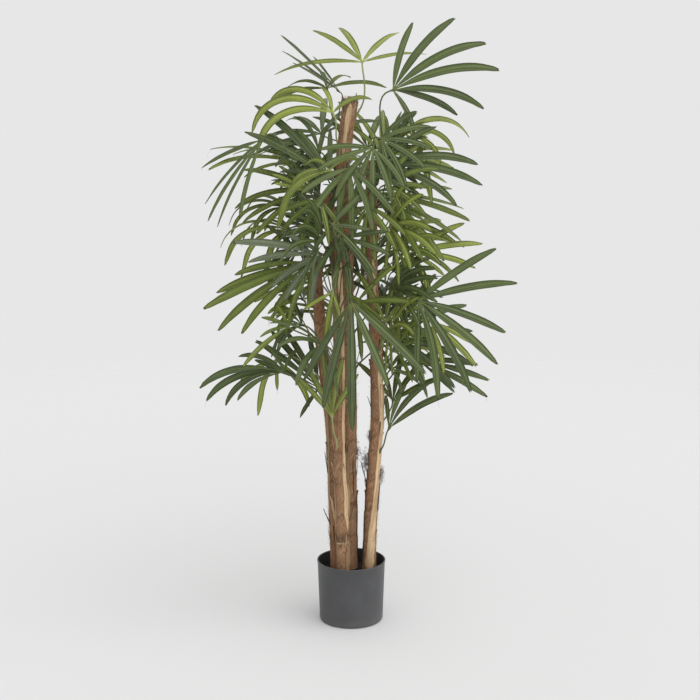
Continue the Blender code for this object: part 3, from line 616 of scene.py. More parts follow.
def stored(tree, shape, name, value, kind="FLOAT", domain="POINT"):
    values = {"Geometry": shape, "Name": name, "Value": value}
    return put(tree, "GeometryNodeStoreNamedAttribute", values, data_type=kind, domain=domain).outputs[0]


def smoothed(tree, shape, sharpFrom):
    # smooth faces, with edges kept crisp past an angle in radians
    values = {"Geometry": shape, "Shade Smooth": True}
    shape = put(tree, "GeometryNodeSetShadeSmooth", values, domain="FACE").outputs[0]
    angle = put(tree, "GeometryNodeInputMeshEdgeAngle").outputs[0]
    crisp = put(tree, "FunctionNodeCompare", {0: angle, 1: sharpFrom}, operation="GREATER_THAN").outputs[0]
    values = {"Geometry": shape, "Selection": crisp, "Shade Smooth": False}
    return put(tree, "GeometryNodeSetShadeSmooth", values, domain="EDGE").outputs[0]


def circle(tree, sides, radius=1.0):
    return put(tree, "GeometryNodeCurvePrimitiveCircle", {"Resolution": sides, "Radius": radius}).outputs[0]


def swept(tree, curves, ring, size):
    values = {"Curve": curves, "Profile Curve": ring, "Scale": size, "Fill Caps": True}
    return put(tree, "GeometryNodeCurveToMesh", values).outputs[0]


def randomVector(tree, low, high, seed, number=None):
    values = {"Min": low, "Max": high, "Seed": seed}
    if number is not None:
        values["ID"] = number
    return put(tree, "FunctionNodeRandomValue", values, data_type="FLOAT_VECTOR").outputs[0]


def ribCurves(tree, given):
    # the ribs' own normals turn the outline that is swept along them
    curves = put(tree, "GeometryNodeMeshToCurve", {"Mesh": given["Geometry"]}).outputs[0]
    values = {"Curve": curves, "Normal": named(tree, "facing", "FLOAT_VECTOR")}
    return put(tree, "GeometryNodeSetCurveNormal", values, mode="FREE").outputs[0]


def withFlatPlace(tree, shape):
    # texture places in metres: across the piece and along it
    width = times(tree, named(tree, "across"), named(tree, "halfWidth"))
    return stored(tree, shape, "UVMap", together(tree, width, named(tree, "reach")), "FLOAT2", "CORNER")


# depths and sizes of the section are shares of the blade's half width
pleats = {
    "pointsAcross": 9, "count": 2.0, "depth": 0.14, "arch": 0.10, "thickness": 0.05, "edgeThinner": 0.5,
    "tipTear": 0.004, "tearOver": (0.90, 1.0), "edgeWave": 0.0012, "waveLength": 0.03, "waveOver": (0.1, 0.3),
    "seed": 5, "drawsApart": 32,    # more than twice the points across, so that no two points share a draw
    "crease": 0.75,                 # radians past which an edge stays crisp
}


def makeBladeTree():
    look = pleats
    tree, given = geometryTree("pleatedBlade", [
        ("Points Across", "Int", look["pointsAcross"]), ("Pleats", "Float", look["count"]),
        ("Pleat Depth", "Float", look["depth"]), ("Arch", "Float", look["arch"]),
        ("Thickness", "Float", look["thickness"]), ("Tip Tear", "Float", look["tipTear"]),
        ("Edge Wave", "Float", look["edgeWave"]), ("Wave Length", "Float", look["waveLength"]),
        ("Seed", "Int", look["seed"]),
    ])
    curves = ribCurves(tree, given)
    tangent = put(tree, "GeometryNodeInputTangent").outputs[0]
    curves = stored(tree, curves, "heading", tangent, "FLOAT_VECTOR")

    # the outline across: the upper side from right to left, then the lower side back
    count = given["Points Across"]
    ring = circle(tree, times(tree, count, 2))
    index = put(tree, "GeometryNodeInputIndex").outputs[0]
    onBack = calc(tree, "GREATER_THAN", index, minus(tree, count, 0.5))
    back = minus(tree, minus(tree, times(tree, count, 2), 1), index)
    step = put(tree, "ShaderNodeMix", {0: onBack, 2: index, 3: back}).outputs[0]
    across = minus(tree, 1, over(tree, times(tree, step, 2), minus(tree, count, 1)))
    wave = calc(tree, "COSINE", times(tree, times(tree, across, math.pi), given["Pleats"]))
    square = times(tree, across, across)
    side = timesPlus(tree, onBack, -2, 1)
    thin = times(tree, timesPlus(tree, square, -look["edgeThinner"], 1), given["Thickness"])
    rise = timesPlus(tree, wave, given["Pleat Depth"], times(tree, side, thin))
    rise = minus(tree, rise, times(tree, square, given["Arch"]))
    spot = together(tree, rise, times(tree, across, -1))
    for label, value in (("across", across), ("under", onBack), ("pleat", step)):
        ring = stored(tree, ring, label, value)
    ring = put(tree, "GeometryNodeSetPosition", {"Geometry": ring, "Position": spot}).outputs[0]
    blade = swept(tree, curves, ring, named(tree, "halfWidth"))

    # torn tips: each pleat ends a little before or past the next
    number = timesPlus(tree, named(tree, "number"), look["drawsApart"], named(tree, "pleat"))
    tear = apart(tree, randomVector(tree, (-1, -1, 0), (1, 1, 0), given["Seed"], number))[0]
    atTip = between(tree, named(tree, "share"), *look["tearOver"])
    push = times(tree, times(tree, tear, atTip), given["Tip Tear"])
    ahead = scaled(tree, named(tree, "heading", "FLOAT_VECTOR"), push)
    # soft waves in the edges
    values = {"Scale": over(tree, 1.0, given["Wave Length"]), "Detail": 1.0}
    ripple = put(tree, "ShaderNodeTexNoise", values).outputs[0]
    edge = times(tree, named(tree, "across"), named(tree, "across"))
    lift = times(tree, minus(tree, ripple, 0.5), times(tree, edge, given["Edge Wave"]))
    lift = times(tree, times(tree, lift, 2), between(tree, named(tree, "share"), *look["waveOver"]))
    wavy = scaled(tree, named(tree, "facing", "FLOAT_VECTOR"), lift)
    values = {"Geometry": blade, "Offset": vectorCalc(tree, "ADD", ahead, wavy)}
    blade = put(tree, "GeometryNodeSetPosition", values).outputs[0]
    return closeTree(tree, given, smoothed(tree, withFlatPlace(tree, blade), look["crease"]))


rods = {"sides": 8, "flatness": 1.0, "crease": 1.2}


def makeRodTree():
    look = rods
    inputs = [("Sides", "Int", look["sides"]), ("Flatness", "Float", look["flatness"])]
    tree, given = geometryTree("roundRod", inputs)
    curves = ribCurves(tree, given)
    values = {"Geometry": circle(tree, given["Sides"]), "Scale": together(tree, given["Flatness"], 1.0, 1.0)}
    ring = put(tree, "GeometryNodeTransform", values).outputs[0]
    spot = put(tree, "GeometryNodeInputPosition").outputs[0]
    ring = stored(tree, ring, "across", apart(tree, spot)[1])
    rod = withFlatPlace(tree, swept(tree, curves, ring, named(tree, "halfWidth")))
    return closeTree(tree, given, smoothed(tree, rod, look["crease"]))


# a hair of length 1 bows up from where it is set, and is then turned and brought to its length at random
looseHair = {
    "density": 20000.0, "length": 0.012, "radius": 0.00016, "lift": 0.35, "spread": 0.6, "seed": 7,
    "start": (0, 0, -0.08), "startHandle": (0.35, 0, 0.05), "endHandle": (0.7, 0.06, 0.16),
    "end": (1, -0.05, 0.42), "points": 4, "sides": 3, "tipRadius": 0.35,
    "dip": 0.12, "shortest": 0.4, "lengthSeed": 3,
}


def makeFibreTree():
    # loose hairs that stand off the surface they are set on, mostly along it
    look = looseHair
    tree, given = geometryTree("looseFibres", [
        ("Density", "Float", look["density"]), ("Length", "Float", look["length"]),
        ("Radius", "Float", look["radius"]), ("Lift", "Float", look["lift"]),
        ("Spread", "Float", look["spread"]), ("Seed", "Int", look["seed"]),
    ])
    values = {"Mesh": given["Geometry"], "Density": times(tree, named(tree, "shag"), given["Density"]),
              "Seed": given["Seed"]}
    spots = put(tree, "GeometryNodeDistributePointsOnFaces", values)
    values = {"Resolution": look["points"], "Start": look["start"], "Start Handle": look["startHandle"],
              "End Handle": look["endHandle"], "End": look["end"]}
    bow = put(tree, "GeometryNodeCurvePrimitiveBezierSegment", values).outputs[0]
    ring = circle(tree, look["sides"], over(tree, given["Radius"], given["Length"]))
    along = put(tree, "GeometryNodeSplineParameter").outputs[0]
    hair = swept(tree, bow, ring, between(tree, along, 0.0, 1.0, 1.0, look["tipRadius"]))
    values = {"Primary Axis": spots.outputs["Normal"], "Secondary Axis": (0, 0, 1)}
    upright = put(tree, "FunctionNodeAxesToRotation", values, primary_axis="Z", secondary_axis="X").outputs[0]
    low = together(tree, 0.0, times(tree, given["Lift"], -1), times(tree, given["Spread"], -1))
    high = together(tree, 0.0, look["dip"], given["Spread"])
    sway = randomVector(tree, low, high, given["Seed"])
    turn = put(tree, "FunctionNodeEulerToRotation", {0: sway}).outputs[0]
    values = {"Rotation": upright, "Rotate By": turn}
    turned = put(tree, "FunctionNodeRotateRotation", values, rotation_space="LOCAL").outputs[0]
    share = apart(tree, randomVector(tree, (look["shortest"], 0, 0), (1.0, 1, 1), look["lengthSeed"]))
    points = stored(tree, spots.outputs["Points"], "ownShade", share[1])
    values = {"Points": points, "Instance": hair, "Rotation": turned,
              "Scale": times(tree, share[0], given["Length"])}
    hairs = put(tree, "GeometryNodeInstanceOnPoints", values).outputs[0]
    return closeTree(tree, given, hairs)


bladeTree, rodTree, fibreTree = makeBladeTree(), makeRodTree(), makeFibreTree()


def runTree(tree, mesh, name, **inputs):
    # the tree's result is kept as a plain mesh, and the object that carried it is removed
    carrier = linkToScene(bpy.data.objects.new(name + "_lines", mesh))
    modifier = carrier.modifiers.new("shape", "NODES")
    modifier.node_group = tree
    for item in tree.interface.items_tree:
        label = item.name.replace(" ", "")
        label = label[0].lower() + label[1:]
        if item.in_out == "INPUT" and label in inputs:
            modifier[item.identifier] = inputs[label]
    graph = bpy.context.evaluated_depsgraph_get()
    shape = bpy.data.meshes.new_from_object(carrier.evaluated_get(graph), depsgraph=graph)
    bpy.data.objects.remove(carrier)
    shape.name = name
    return linkToScene(bpy.data.objects.new(name, shape))


class Rib(NamedTuple):
    spots: list
    facings: list      # which way the outline's upper side faces
    halfWidths: list
    number: int = 0
    ownShade: float = 0.5


def ribMesh(name, ribs):
    # lines with what the trees need at each point
    mesh = bpy.data.meshes.new(name)
    points, edges = [], []
    values = {"halfWidth": [], "share": [], "reach": [], "number": [], "ownShade": []}
    facings = []
    for rib in ribs:
        first = len(points)
        lengths = [0.0]
        for a, b in zip(rib.spots, rib.spots[1:]):
            lengths.append(lengths[-1] + (b - a).length)
        for k, spot in enumerate(rib.spots):
            points.append(spot)
            facings.extend(rib.facings[k])
            values["halfWidth"].append(rib.halfWidths[k])
            values["share"].append(lengths[k] / lengths[-1])
            values["reach"].append(lengths[k])
            values["number"].append(float(rib.number))
            values["ownShade"].append(rib.ownShade)
        edges += [(first + k, first + k + 1) for k in range(len(rib.spots) - 1)]
    mesh.from_pydata(points, edges, [])
    mesh.attributes.new("facing", "FLOAT_VECTOR", "POINT").data.foreach_set("vector", facings)
    for label, numbers in values.items():
        mesh.attributes.new(label, "FLOAT", "POINT").data.foreach_set("value", numbers)
    return mesh


# The pot and its filling

pot = {
    "height": 0.157, "topRadius": 0.0855, "bottomRadius": 0.080,
    "footBevel": 0.006, "wall": 0.0025, "floor": 0.004, "sides": 160, "sharpFrom": 50,
    "rimLip": 0.0010, "rimHeight": 0.0034, "lipRound": 0.0011, "edgeRound": 0.0009,
    "footHollow": 0.0006, "hollowRadius": 0.052, "hollowEdge": 0.0535, "floorRound": 0.004,
    "outerSteps": (0.03, 0.06, 0.09, 0.12), "innerSteps": (0.12, 0.06, 0.012),
    "gap": 0.0003,           # between the pot and its filling
    "fillTop": 0.124, "fillEdgeDrop": 0.004, "fillMiddle": 0.06, "fillRings": 30, "fillSides": 96,
    "fillSharpFrom": 60, "lumps": ((140, 0.0012), (45, 0.0010)), "lumpSink": 0.0016,   # per metre, and height
}


def turnedPiece(profile, sides):
    # a closed solid of revolution: the profile runs between two points on the axis
    bm = bmesh.new()
    rings = []
    for radius, z in profile:
        count = 1 if radius == 0 else sides
        angles = [2 * math.pi * i / sides for i in range(count)]
        rings.append([bm.verts.new((radius * math.cos(a), radius * math.sin(a), z)) for a in angles])
    for low, high in zip(rings, rings[1:]):
        for i in range(sides):
            j = (i + 1) % sides
            corners = [low[i % len(low)], low[j % len(low)], high[j % len(high)], high[i % len(high)]]
            bm.faces.new(list(dict.fromkeys(corners)))
    bmesh.ops.recalc_face_normals(bm, faces=bm.faces[:])
    if bm.calc_volume(signed=True) < 0:
        bmesh.ops.reverse_faces(bm, faces=bm.faces[:])
    return bm


def keepPiece(bm, material, name, sharpFrom):
    # sharpFrom is the angle in degrees past which an edge stays crisp
    mesh = bpy.data.meshes.new(name)
    bm.to_mesh(mesh)
    bm.free()
    mesh.materials.append(material)
    mesh.shade_smooth()
    mesh.set_sharp_from_angle(angle=math.radians(sharpFrom))
    return linkToScene(bpy.data.objects.new(name, mesh))


def potRadius(z):
    return pot["bottomRadius"] + (pot["topRadius"] - pot["bottomRadius"]) * z / pot["height"]


def arc(centreRadius, centreHeight, radius, start, end, count):
    # points of a round stretch, with angles in degrees from straight out
    turns = [math.radians(start + (end - start) * k / count) for k in range(count + 1)]
    return [(centreRadius + radius * math.cos(t), centreHeight + radius * math.sin(t)) for t in turns]


def makePot():
    top, wall, bevel, lip, floor = (pot[key] for key in ("height", "wall", "footBevel", "rimLip", "floor"))
    lipRound, edgeRound = pot["lipRound"], pot["edgeRound"]
    rim = top - pot["rimHeight"]
    inner = pot["topRadius"] - wall
    floorRadius = potRadius(floor) - wall
    profile = [(0, pot["footHollow"]), (pot["hollowRadius"], pot["footHollow"]), (pot["hollowEdge"], 0)]
    profile += [(pot["bottomRadius"] - bevel, 0)]
    profile += arc(potRadius(bevel) - bevel, bevel, bevel, -78, 0, 7)
    profile += [(potRadius(z), z) for z in (*pot["outerSteps"], rim - 0.0012)]
    profile += [(potRadius(rim) + lip * 0.8, rim - 0.0002)]
    profile += arc(pot["topRadius"] + lip - lipRound, top - lipRound, lipRound, 0, 90, 4)
    profile += arc(inner + edgeRound, top - edgeRound, edgeRound, 90, 180, 4)
    profile += [(inner + (floorRadius - inner) * (top - z) / (top - floor), z) for z in pot["innerSteps"]]
    profile += [(floorRadius - pot["floorRound"], floor), (0, floor)]
    piece = keepPiece(turnedPiece(profile, pot["sides"]), potFinish, "pot_shell", pot["sharpFrom"])
    finishPiece(piece, "pot_plastic", "pot")
    print("pot made")


def fillRadius(z):
    # the filling's own radius, a little inside the pot's wall
    low = potRadius(pot["floor"]) - pot["wall"] - pot["footBevel"] / 2
    share = (z - pot["floor"]) / (pot["height"] - pot["floor"])
    return low + (pot["topRadius"] - pot["wall"] - low) * share - 2 * pot["gap"]


def makeFill():
    # a low crumbly top, drawn down at the wall
    foot, top, middle, rings = pot["floor"] + pot["gap"], pot["fillTop"], pot["fillMiddle"], pot["fillRings"]
    edge = top - pot["fillEdgeDrop"]
    rim = fillRadius(edge)
    profile = [(0, foot), (fillRadius(pot["floor"]), foot), (fillRadius(middle), middle), (rim, edge)]
    profile += [(rim * (1 - k / rings), top) for k in range(1, rings)] + [(0, top)]
    bm = turnedPiece(profile, pot["fillSides"])
    for vertex in bm.verts:
        if vertex.co.z > edge + 1e-5:
            lumps = sum(noise.noise(vertex.co * fineness) * rise for fineness, rise in pot["lumps"])
            vertex.co.z += lumps - pot["lumpSink"]
    finishPiece(keepPiece(bm, fillFinish, "pot_filling", pot["fillSharpFrom"]), "pot_fill", "pot_fill")


makePot()
makeFill()


# The canes. Each has the points of its centre line, its radius at the foot and the top, and its own seed

canes = {
    "stem_a": (
        ((-0.036, 0.012, 0.124), (-0.043, 0.012, 0.31), (-0.046, 0.018, 0.46), (-0.053, 0.021, 0.54),
         (-0.072, 0.029, 0.69), (-0.080, 0.030, 0.80), (-0.088, 0.031, 0.92)),
        0.0166, 0.0146, 3.1,
    ),
    "stem_b": (
        ((-0.021, -0.030, 0.124), (-0.025, -0.030, 0.34), (-0.030, -0.030, 0.48), (-0.029, -0.030, 0.60),
         (-0.032, -0.030, 0.83), (-0.040, -0.030, 0.97), (-0.056, -0.030, 1.08)),
        0.0164, 0.0138, 7.7,
    ),
    "stem_c": (
        ((-0.001, 0.030, 0.124), (-0.003, 0.030, 0.38), (-0.003, 0.030, 0.55), (-0.011, 0.030, 0.79),
         (-0.014, 0.030, 1.00), (-0.021, 0.030, 1.14), (-0.012, 0.030, 1.23), (-0.002, 0.030, 1.305)),
        0.0168, 0.0186, 12.9,
    ),
    "stem_d": (
        ((0.046, 0.010, 0.124), (0.050, 0.010, 0.26), (0.059, 0.010, 0.43), (0.065, 0.010, 0.53),
         (0.061, 0.010, 0.70), (0.051, 0.010, 0.88), (0.049, 0.010, 1.04), (0.047, 0.010, 1.16)),
        0.0170, 0.0138, 18.3,
    ),
}
bark = {
    "foot": pot["fillTop"] + pot["gap"],
    "flare": 1.10, "flareHeight": 0.04,
    "wrapLength": 0.082, "tuck": 0.93, "lip": 0.05,   # tuck at a wrap's foot; lip as a share of its length
    "ragged": 0.010,         # how far the lips run up and down
    "ringStep": 0.0030, "sides": 80,
    "ridge": 0.0007, "ridgeCount": 7.0, "ridgeHeight": 9, "ridgeDrift": 4, "sunk": 0.0004,
    "weave": 0.00018, "threads": ((18, 900), (16, -780)),   # rounds and rise of the threads wound each way
    "shag": 0.20, "lipShag": 1.0, "lipShagFrom": 0.90, "hollowUpTo": 0.06,
    "topRagged": 0.0035, "sharpFrom": 70,
    # of the cup's rings: share, drop, and how dark its painted shade is
    "cup": ((0.80, 0.0005, 0.0), (0.70, 0.004, 0.7), (0.35, 0.005, 0.7)),   # share, drop, how dark
}
hairs = {"density": 62000.0, "length": 0.013, "radius": 0.00026, "lift": 0.34, "spread": 0.95}


def outward(angle):
    return Vector((math.cos(angle), math.sin(angle), 0))


def smoothPoint(points, at):
    # a point of the curve through the points, whose parameter is the height
    last = len(points) - 1
    k = next(i for i in range(last) if at <= points[i + 1][2] or i == last - 1)
    a, b, c, d = (Vector(points[min(max(k + i, 0), last)]) for i in (-1, 0, 1, 2))
    t = (at - b.z) / (c.z - b.z)
    spot = 0.5 * (2 * b + (c - a) * t + (2 * a - 5 * b + 4 * c - d) * t * t + (3 * b - 3 * c + d - a) * t**3)
    spot.z = at
    return spot


def caneTop(name):
    return canes[name][0][-1][2]


def caneRadius(name, z):
    # the taper and the flare at the foot
    _, radiusLow, radiusTop, _ = canes[name]
    share = (z - pot["fillTop"]) / (caneTop(name) - pot["fillTop"])
    radius = radiusLow + (radiusTop - radiusLow) * share
    flare = max(0.0, 1 - (z - pot["fillTop"]) / bark["flareHeight"])
    return radius * (1 + (bark["flare"] - 1) * flare)


def caneTurn(name, z):
    # how the cane leans at a height
    points = canes[name][0]
    z = min(z, points[-1][2] - 0.011)
    ahead = smoothPoint(points, min(z + 0.01, points[-1][2]))
    behind = smoothPoint(points, max(z - 0.01, points[0][2]))
    return Vector((0, 0, 1)).rotation_difference(ahead - behind)


def wrapPlace(name, z, angle):
    # which wrap covers this place, and how far up it this is
    seed = canes[name][3]
    count = round((caneTop(name) - bark["foot"]) / bark["wrapLength"])
    length = (caneTop(name) - bark["foot"]) / count
    rag = noise.noise((math.cos(angle) * 1.6 + seed, math.sin(angle) * 1.6, z * 4)) * bark["ragged"]
    place = (z + rag - bark["foot"]) / length
    number = min(max(math.floor(place), 0), count - 1)
    return number, min(max(place - number, 0.0), 1.0)


def wrapSwell(number, share):
    # tucked in at its foot, proud at its lip
    foot = 1.0 if number == 0 else bark["tuck"]
    lipStart = 1 - bark["lip"]
    if share < lipStart:
        t = share / lipStart
        return foot + (1.0 - foot) * t * (2 - t)
    t = (share - lipStart) / bark["lip"]
    return 1.0 - (1.0 - bark["tuck"]) * t * t


def onCane(name, z, angle, radius):
    turn = caneTurn(name, z) if z > bark["foot"] + 1e-6 else Matrix.Identity(3)
    return smoothPoint(canes[name][0], z) + turn @ (outward(angle) * radius)


def barkRadius(name, z, angle):
    return caneRadius(name, z) * wrapSwell(*wrapPlace(name, z, angle))


# where hairs stand thick: cane, height, degrees from the front to the right, size in metres, strength
tufts = (
    ("stem_b", 0.225, -40, 0.016, 1.6), ("stem_b", 0.225, 20, 0.014, 1.8), ("stem_b", 0.228, 62, 0.012, 1.6),
    ("stem_a", 0.215, -30, 0.016, 1.2), ("stem_c", 0.300, 55, 0.020, 1.2), ("stem_c", 0.262, 20, 0.012, 1.5),
    ("stem_d", 0.475, -70, 0.012, 2.4), ("stem_d", 0.290, 30, 0.020, 1.6), ("stem_c", 1.285, 0, 0.022, 1.5),
    ("stem_b", 0.420, -10, 0.020, 0.8), ("stem_d", 0.560, 0, 0.020, 0.9), ("stem_d", 0.250, -80, 0.016, 1.2),
)


def shagAt(name, spot, number, share):
    # hairs are thin on the wraps, thicker at their lips and thick in the tufts
    nearLip = max(0.0, (share - bark["lipShagFrom"]) / (1 - bark["lipShagFrom"]))
    shag = bark["shag"] + bark["lipShag"] * nearLip
    for cane, height, turn, size, strength in tufts:
        if cane == name and abs(spot.z - height) < 2.5 * size:
            centre = onCane(cane, height, math.radians(turn - 90), caneRadius(cane, height))
            shag += strength * math.exp(-((spot - centre).length / size) ** 2)
    return shag


def makeCane(name):
    seed = canes[name][3]
    top, foot, sides = caneTop(name), bark["foot"], bark["sides"]
    steps = round((top - foot) / bark["ringStep"])
    rng = random.Random(int(seed * 10))
    shades = [rng.random() for _ in range(40)]
    bm = bmesh.new()
    uvLayer = bm.loops.layers.uv.new("UVMap")
    layers = {label: bm.verts.layers.float.new(label) for label in ("shag", "hollow", "wrapShade")}
    rings = []
    for k in range(steps + 1):
        z = foot + (top - foot) * k / steps
        ring = []
        for i in range(sides):
            angle = 2 * math.pi * i / sides
            number, share = wrapPlace(name, z, angle)
            radius = caneRadius(name, z) * wrapSwell(number, share)
            c, s = math.cos(angle), math.sin(angle)
            wide = bark["ridgeCount"]
            ridge = noise.noise((c * wide + seed, s * wide, z * bark["ridgeHeight"] + number * 5.3))
            # threads wound both ways round
            drift = bark["ridgeDrift"] * ridge
            (rounds, rise), (roundsBack, riseBack) = bark["threads"]
            wound = math.sin(rounds * angle + rise * z + drift)
            wound += math.sin(roundsBack * angle + riseBack * z - drift)
            radius += bark["ridge"] * ridge + bark["weave"] * wound / 2 - bark["sunk"]
            spot = onCane(name, z, angle, radius)
            if k == steps:
                spot.z += bark["topRagged"] * noise.noise((c * 5 + seed, s * 5, 2.0))
            vertex = bm.verts.new(spot)
            vertex[layers["shag"]] = shagAt(name, spot, number, share)
            # painted shade in the groove at the foot of each wrap but the first
            vertex[layers["hollow"]] = max(0.0, 1 - share / bark["hollowUpTo"]) if number else 0.0
            vertex[layers["wrapShade"]] = shades[number]
            ring.append(vertex)
        rings.append(ring)
    for k, (low, high) in enumerate(zip(rings, rings[1:])):
        for i in range(sides):
            j = (i + 1) % sides
            face = bm.faces.new((low[i], low[j], high[j], high[i]))
            for loop, (turn, level) in zip(face.loops, ((i, k), (i + 1, k), (i + 1, k + 1), (i, k + 1))):
                around = 2 * math.pi * turn / sides * caneRadius(name, foot + 0.1)
                loop[uvLayer].uv = (around + seed, level * bark["ringStep"])
    bm.faces.new(rings[0][::-1])
    # the cut top is a shallow cup, painted darker inside as shade
    centre = smoothPoint(canes[name][0], top)
    previous = rings[-1]
    for share, drop, dark in bark["cup"]:
        ring = []
        for vertex in rings[-1]:
            spot = centre.lerp(vertex.co, share)
            spot.z = vertex.co.z - drop
            inner = bm.verts.new(spot)
            inner[layers["hollow"]] = dark
            ring.append(inner)
        for i in range(sides):
            j = (i + 1) % sides
            bm.faces.new((previous[i], previous[j], ring[j], ring[i]))
        previous = ring
    bm.faces.new(previous)
    piece = keepPiece(bm, barkFinish, "cane_" + name[-1], bark["sharpFrom"])
    finishPiece(piece, "cane_fibre", name)
    return piece


caneMeshes = {name: makeCane(name) for name in canes}
print("canes made")


# Husk strips that lie on the canes. Each row of a path is a height, and the strip's left and right edge in
# degrees from the front towards the right

namedStrips = (
    ("stem_b", "cream", ((0.236, 50, 66), (0.290, 25, 78), (0.326, 20, 84), (0.39, 17, 62), (0.455, 27, 62),
                         (0.581, 25, 54), (0.700, 18, 60), (0.871, 2, 62), (0.975, 8, 60), (1.02, 20, 40))),
    ("stem_b", "tan", ((0.128, 30, 46), (0.160, 26, 50), (0.200, 30, 44))),
    ("stem_b", "tan", ((0.240, -84, -62), (0.300, -80, -50), (0.380, -78, -60))),
    ("stem_a", "cream", ((0.244, 6, 26), (0.275, -14, 12), (0.300, -28, -4), (0.328, -40, -22))),
    ("stem_a", "cream", ((0.362, 8, 26), (0.385, -6, 16), (0.416, -26, -8))),
    ("stem_a", "tan", ((0.246, 24, 46), (0.285, 18, 42), (0.330, 16, 30))),
    ("stem_a", "tan", ((0.270, -70, -40), (0.330, -66, -30), (0.420, -64, -34), (0.500, -60, -20),
                       (0.56, -40, -22))),
    ("stem_c", "cream", ((0.126, -34, -2), (0.180, -34, -4), (0.230, -30, -8), (0.266, -22, -12))),
    ("stem_c", "cream", ((0.250, -30, -6), (0.280, -32, 2), (0.320, -30, 3), (0.352, -26, -4))),
    ("stem_c", "tan", ((0.342, -20, -4), (0.375, -34, -4), (0.410, -32, -6), (0.445, -18, -8))),
    ("stem_c", "cream", ((1.165, -14, 2), (1.200, -24, 14), (1.250, -26, 22), (1.296, -22, 26))),
    ("stem_d", "cream", ((0.126, -46, 46), (0.154, -44, 46), (0.212, -27, 52), (0.260, -12, 55),
                         (0.312, 3, 58), (0.383, 9, 80), (0.440, 14, 82), (0.494, 17, 80), (0.560, 10, 74),
                         (0.640, 4, 60), (0.70, 14, 40))),
    ("stem_d", "dark", ((0.140, -96, -78), (0.200, -92, -74), (0.270, -94, -80), (0.335, -92, -84))),
    ("stem_d", "dark", ((0.285, 74, 88), (0.330, 78, 92), (0.392, 80, 88))),
    ("stem_d", "cream", ((0.820, 4, 30), (0.860, -4, 34), (0.930, 0, 26))),
    ("stem_c", "dark", ((0.150, 70, 84), (0.230, 72, 90), (0.330, 74, 86))),
)
strip = {
    "proud": 0.0015, "sunk": 0.0022, "pointsAcross": 9, "step": 0.004,
    "endTaper": 0.018, "peel": 0.0030, "peelLength": 0.022, "waver": 3.0,   # waver in degrees
    "spares": 7, "spareLength": (0.07, 0.26), "spareWidth": (10, 34),
    "slivers": 20, "sliverLength": (0.022, 0.110), "sliverWidth": (4, 10),
    "spareTones": ("cream", "tan", "tan", "dark"), "sharpFrom": 60,
}


def spareStrips():
    # more strips by a rule: broad ones on the sides and backs, and slivers all round
    rows = []
    for name in canes:
        rng = random.Random(int(canes[name][3] * 100))
        for k in range(strip["spares"] + strip["slivers"]):
            broad = k < strip["spares"]
            middle = rng.uniform(95, 265) if broad else rng.uniform(-180, 180)
            low = rng.uniform(bark["foot"] + 0.004, caneTop(name) - 0.30)
            high = low + rng.uniform(*strip["spareLength" if broad else "sliverLength"])
            half = rng.uniform(*strip["spareWidth" if broad else "sliverWidth"]) / 2
            drift = rng.uniform(-14, 14)
            tone = strip["spareTones"][k % len(strip["spareTones"])]
            half = half * 0.4 if tone == "dark" and broad else half
            rows.append((name, tone, (
                (low, middle - half * 0.6, middle + half * 0.6),
                ((low + high) / 2, middle + drift / 2 - half, middle + drift / 2 + half),
                (high, middle + drift - half * 0.7, middle + drift + half * 0.7),
            )))
    return rows


def pathAt(rows, z):
    # the strip's edges at a height, eased between its rows
    for (z0, left0, right0), (z1, left1, right1) in zip(rows, rows[1:]):
        if z <= z1 or (z1, left1, right1) == rows[-1]:
            t = min(max((z - z0) / (z1 - z0), 0.0), 1.0)
            t = t * t * (3 - 2 * t)
            return left0 + (left1 - left0) * t, right0 + (right1 - right0) * t


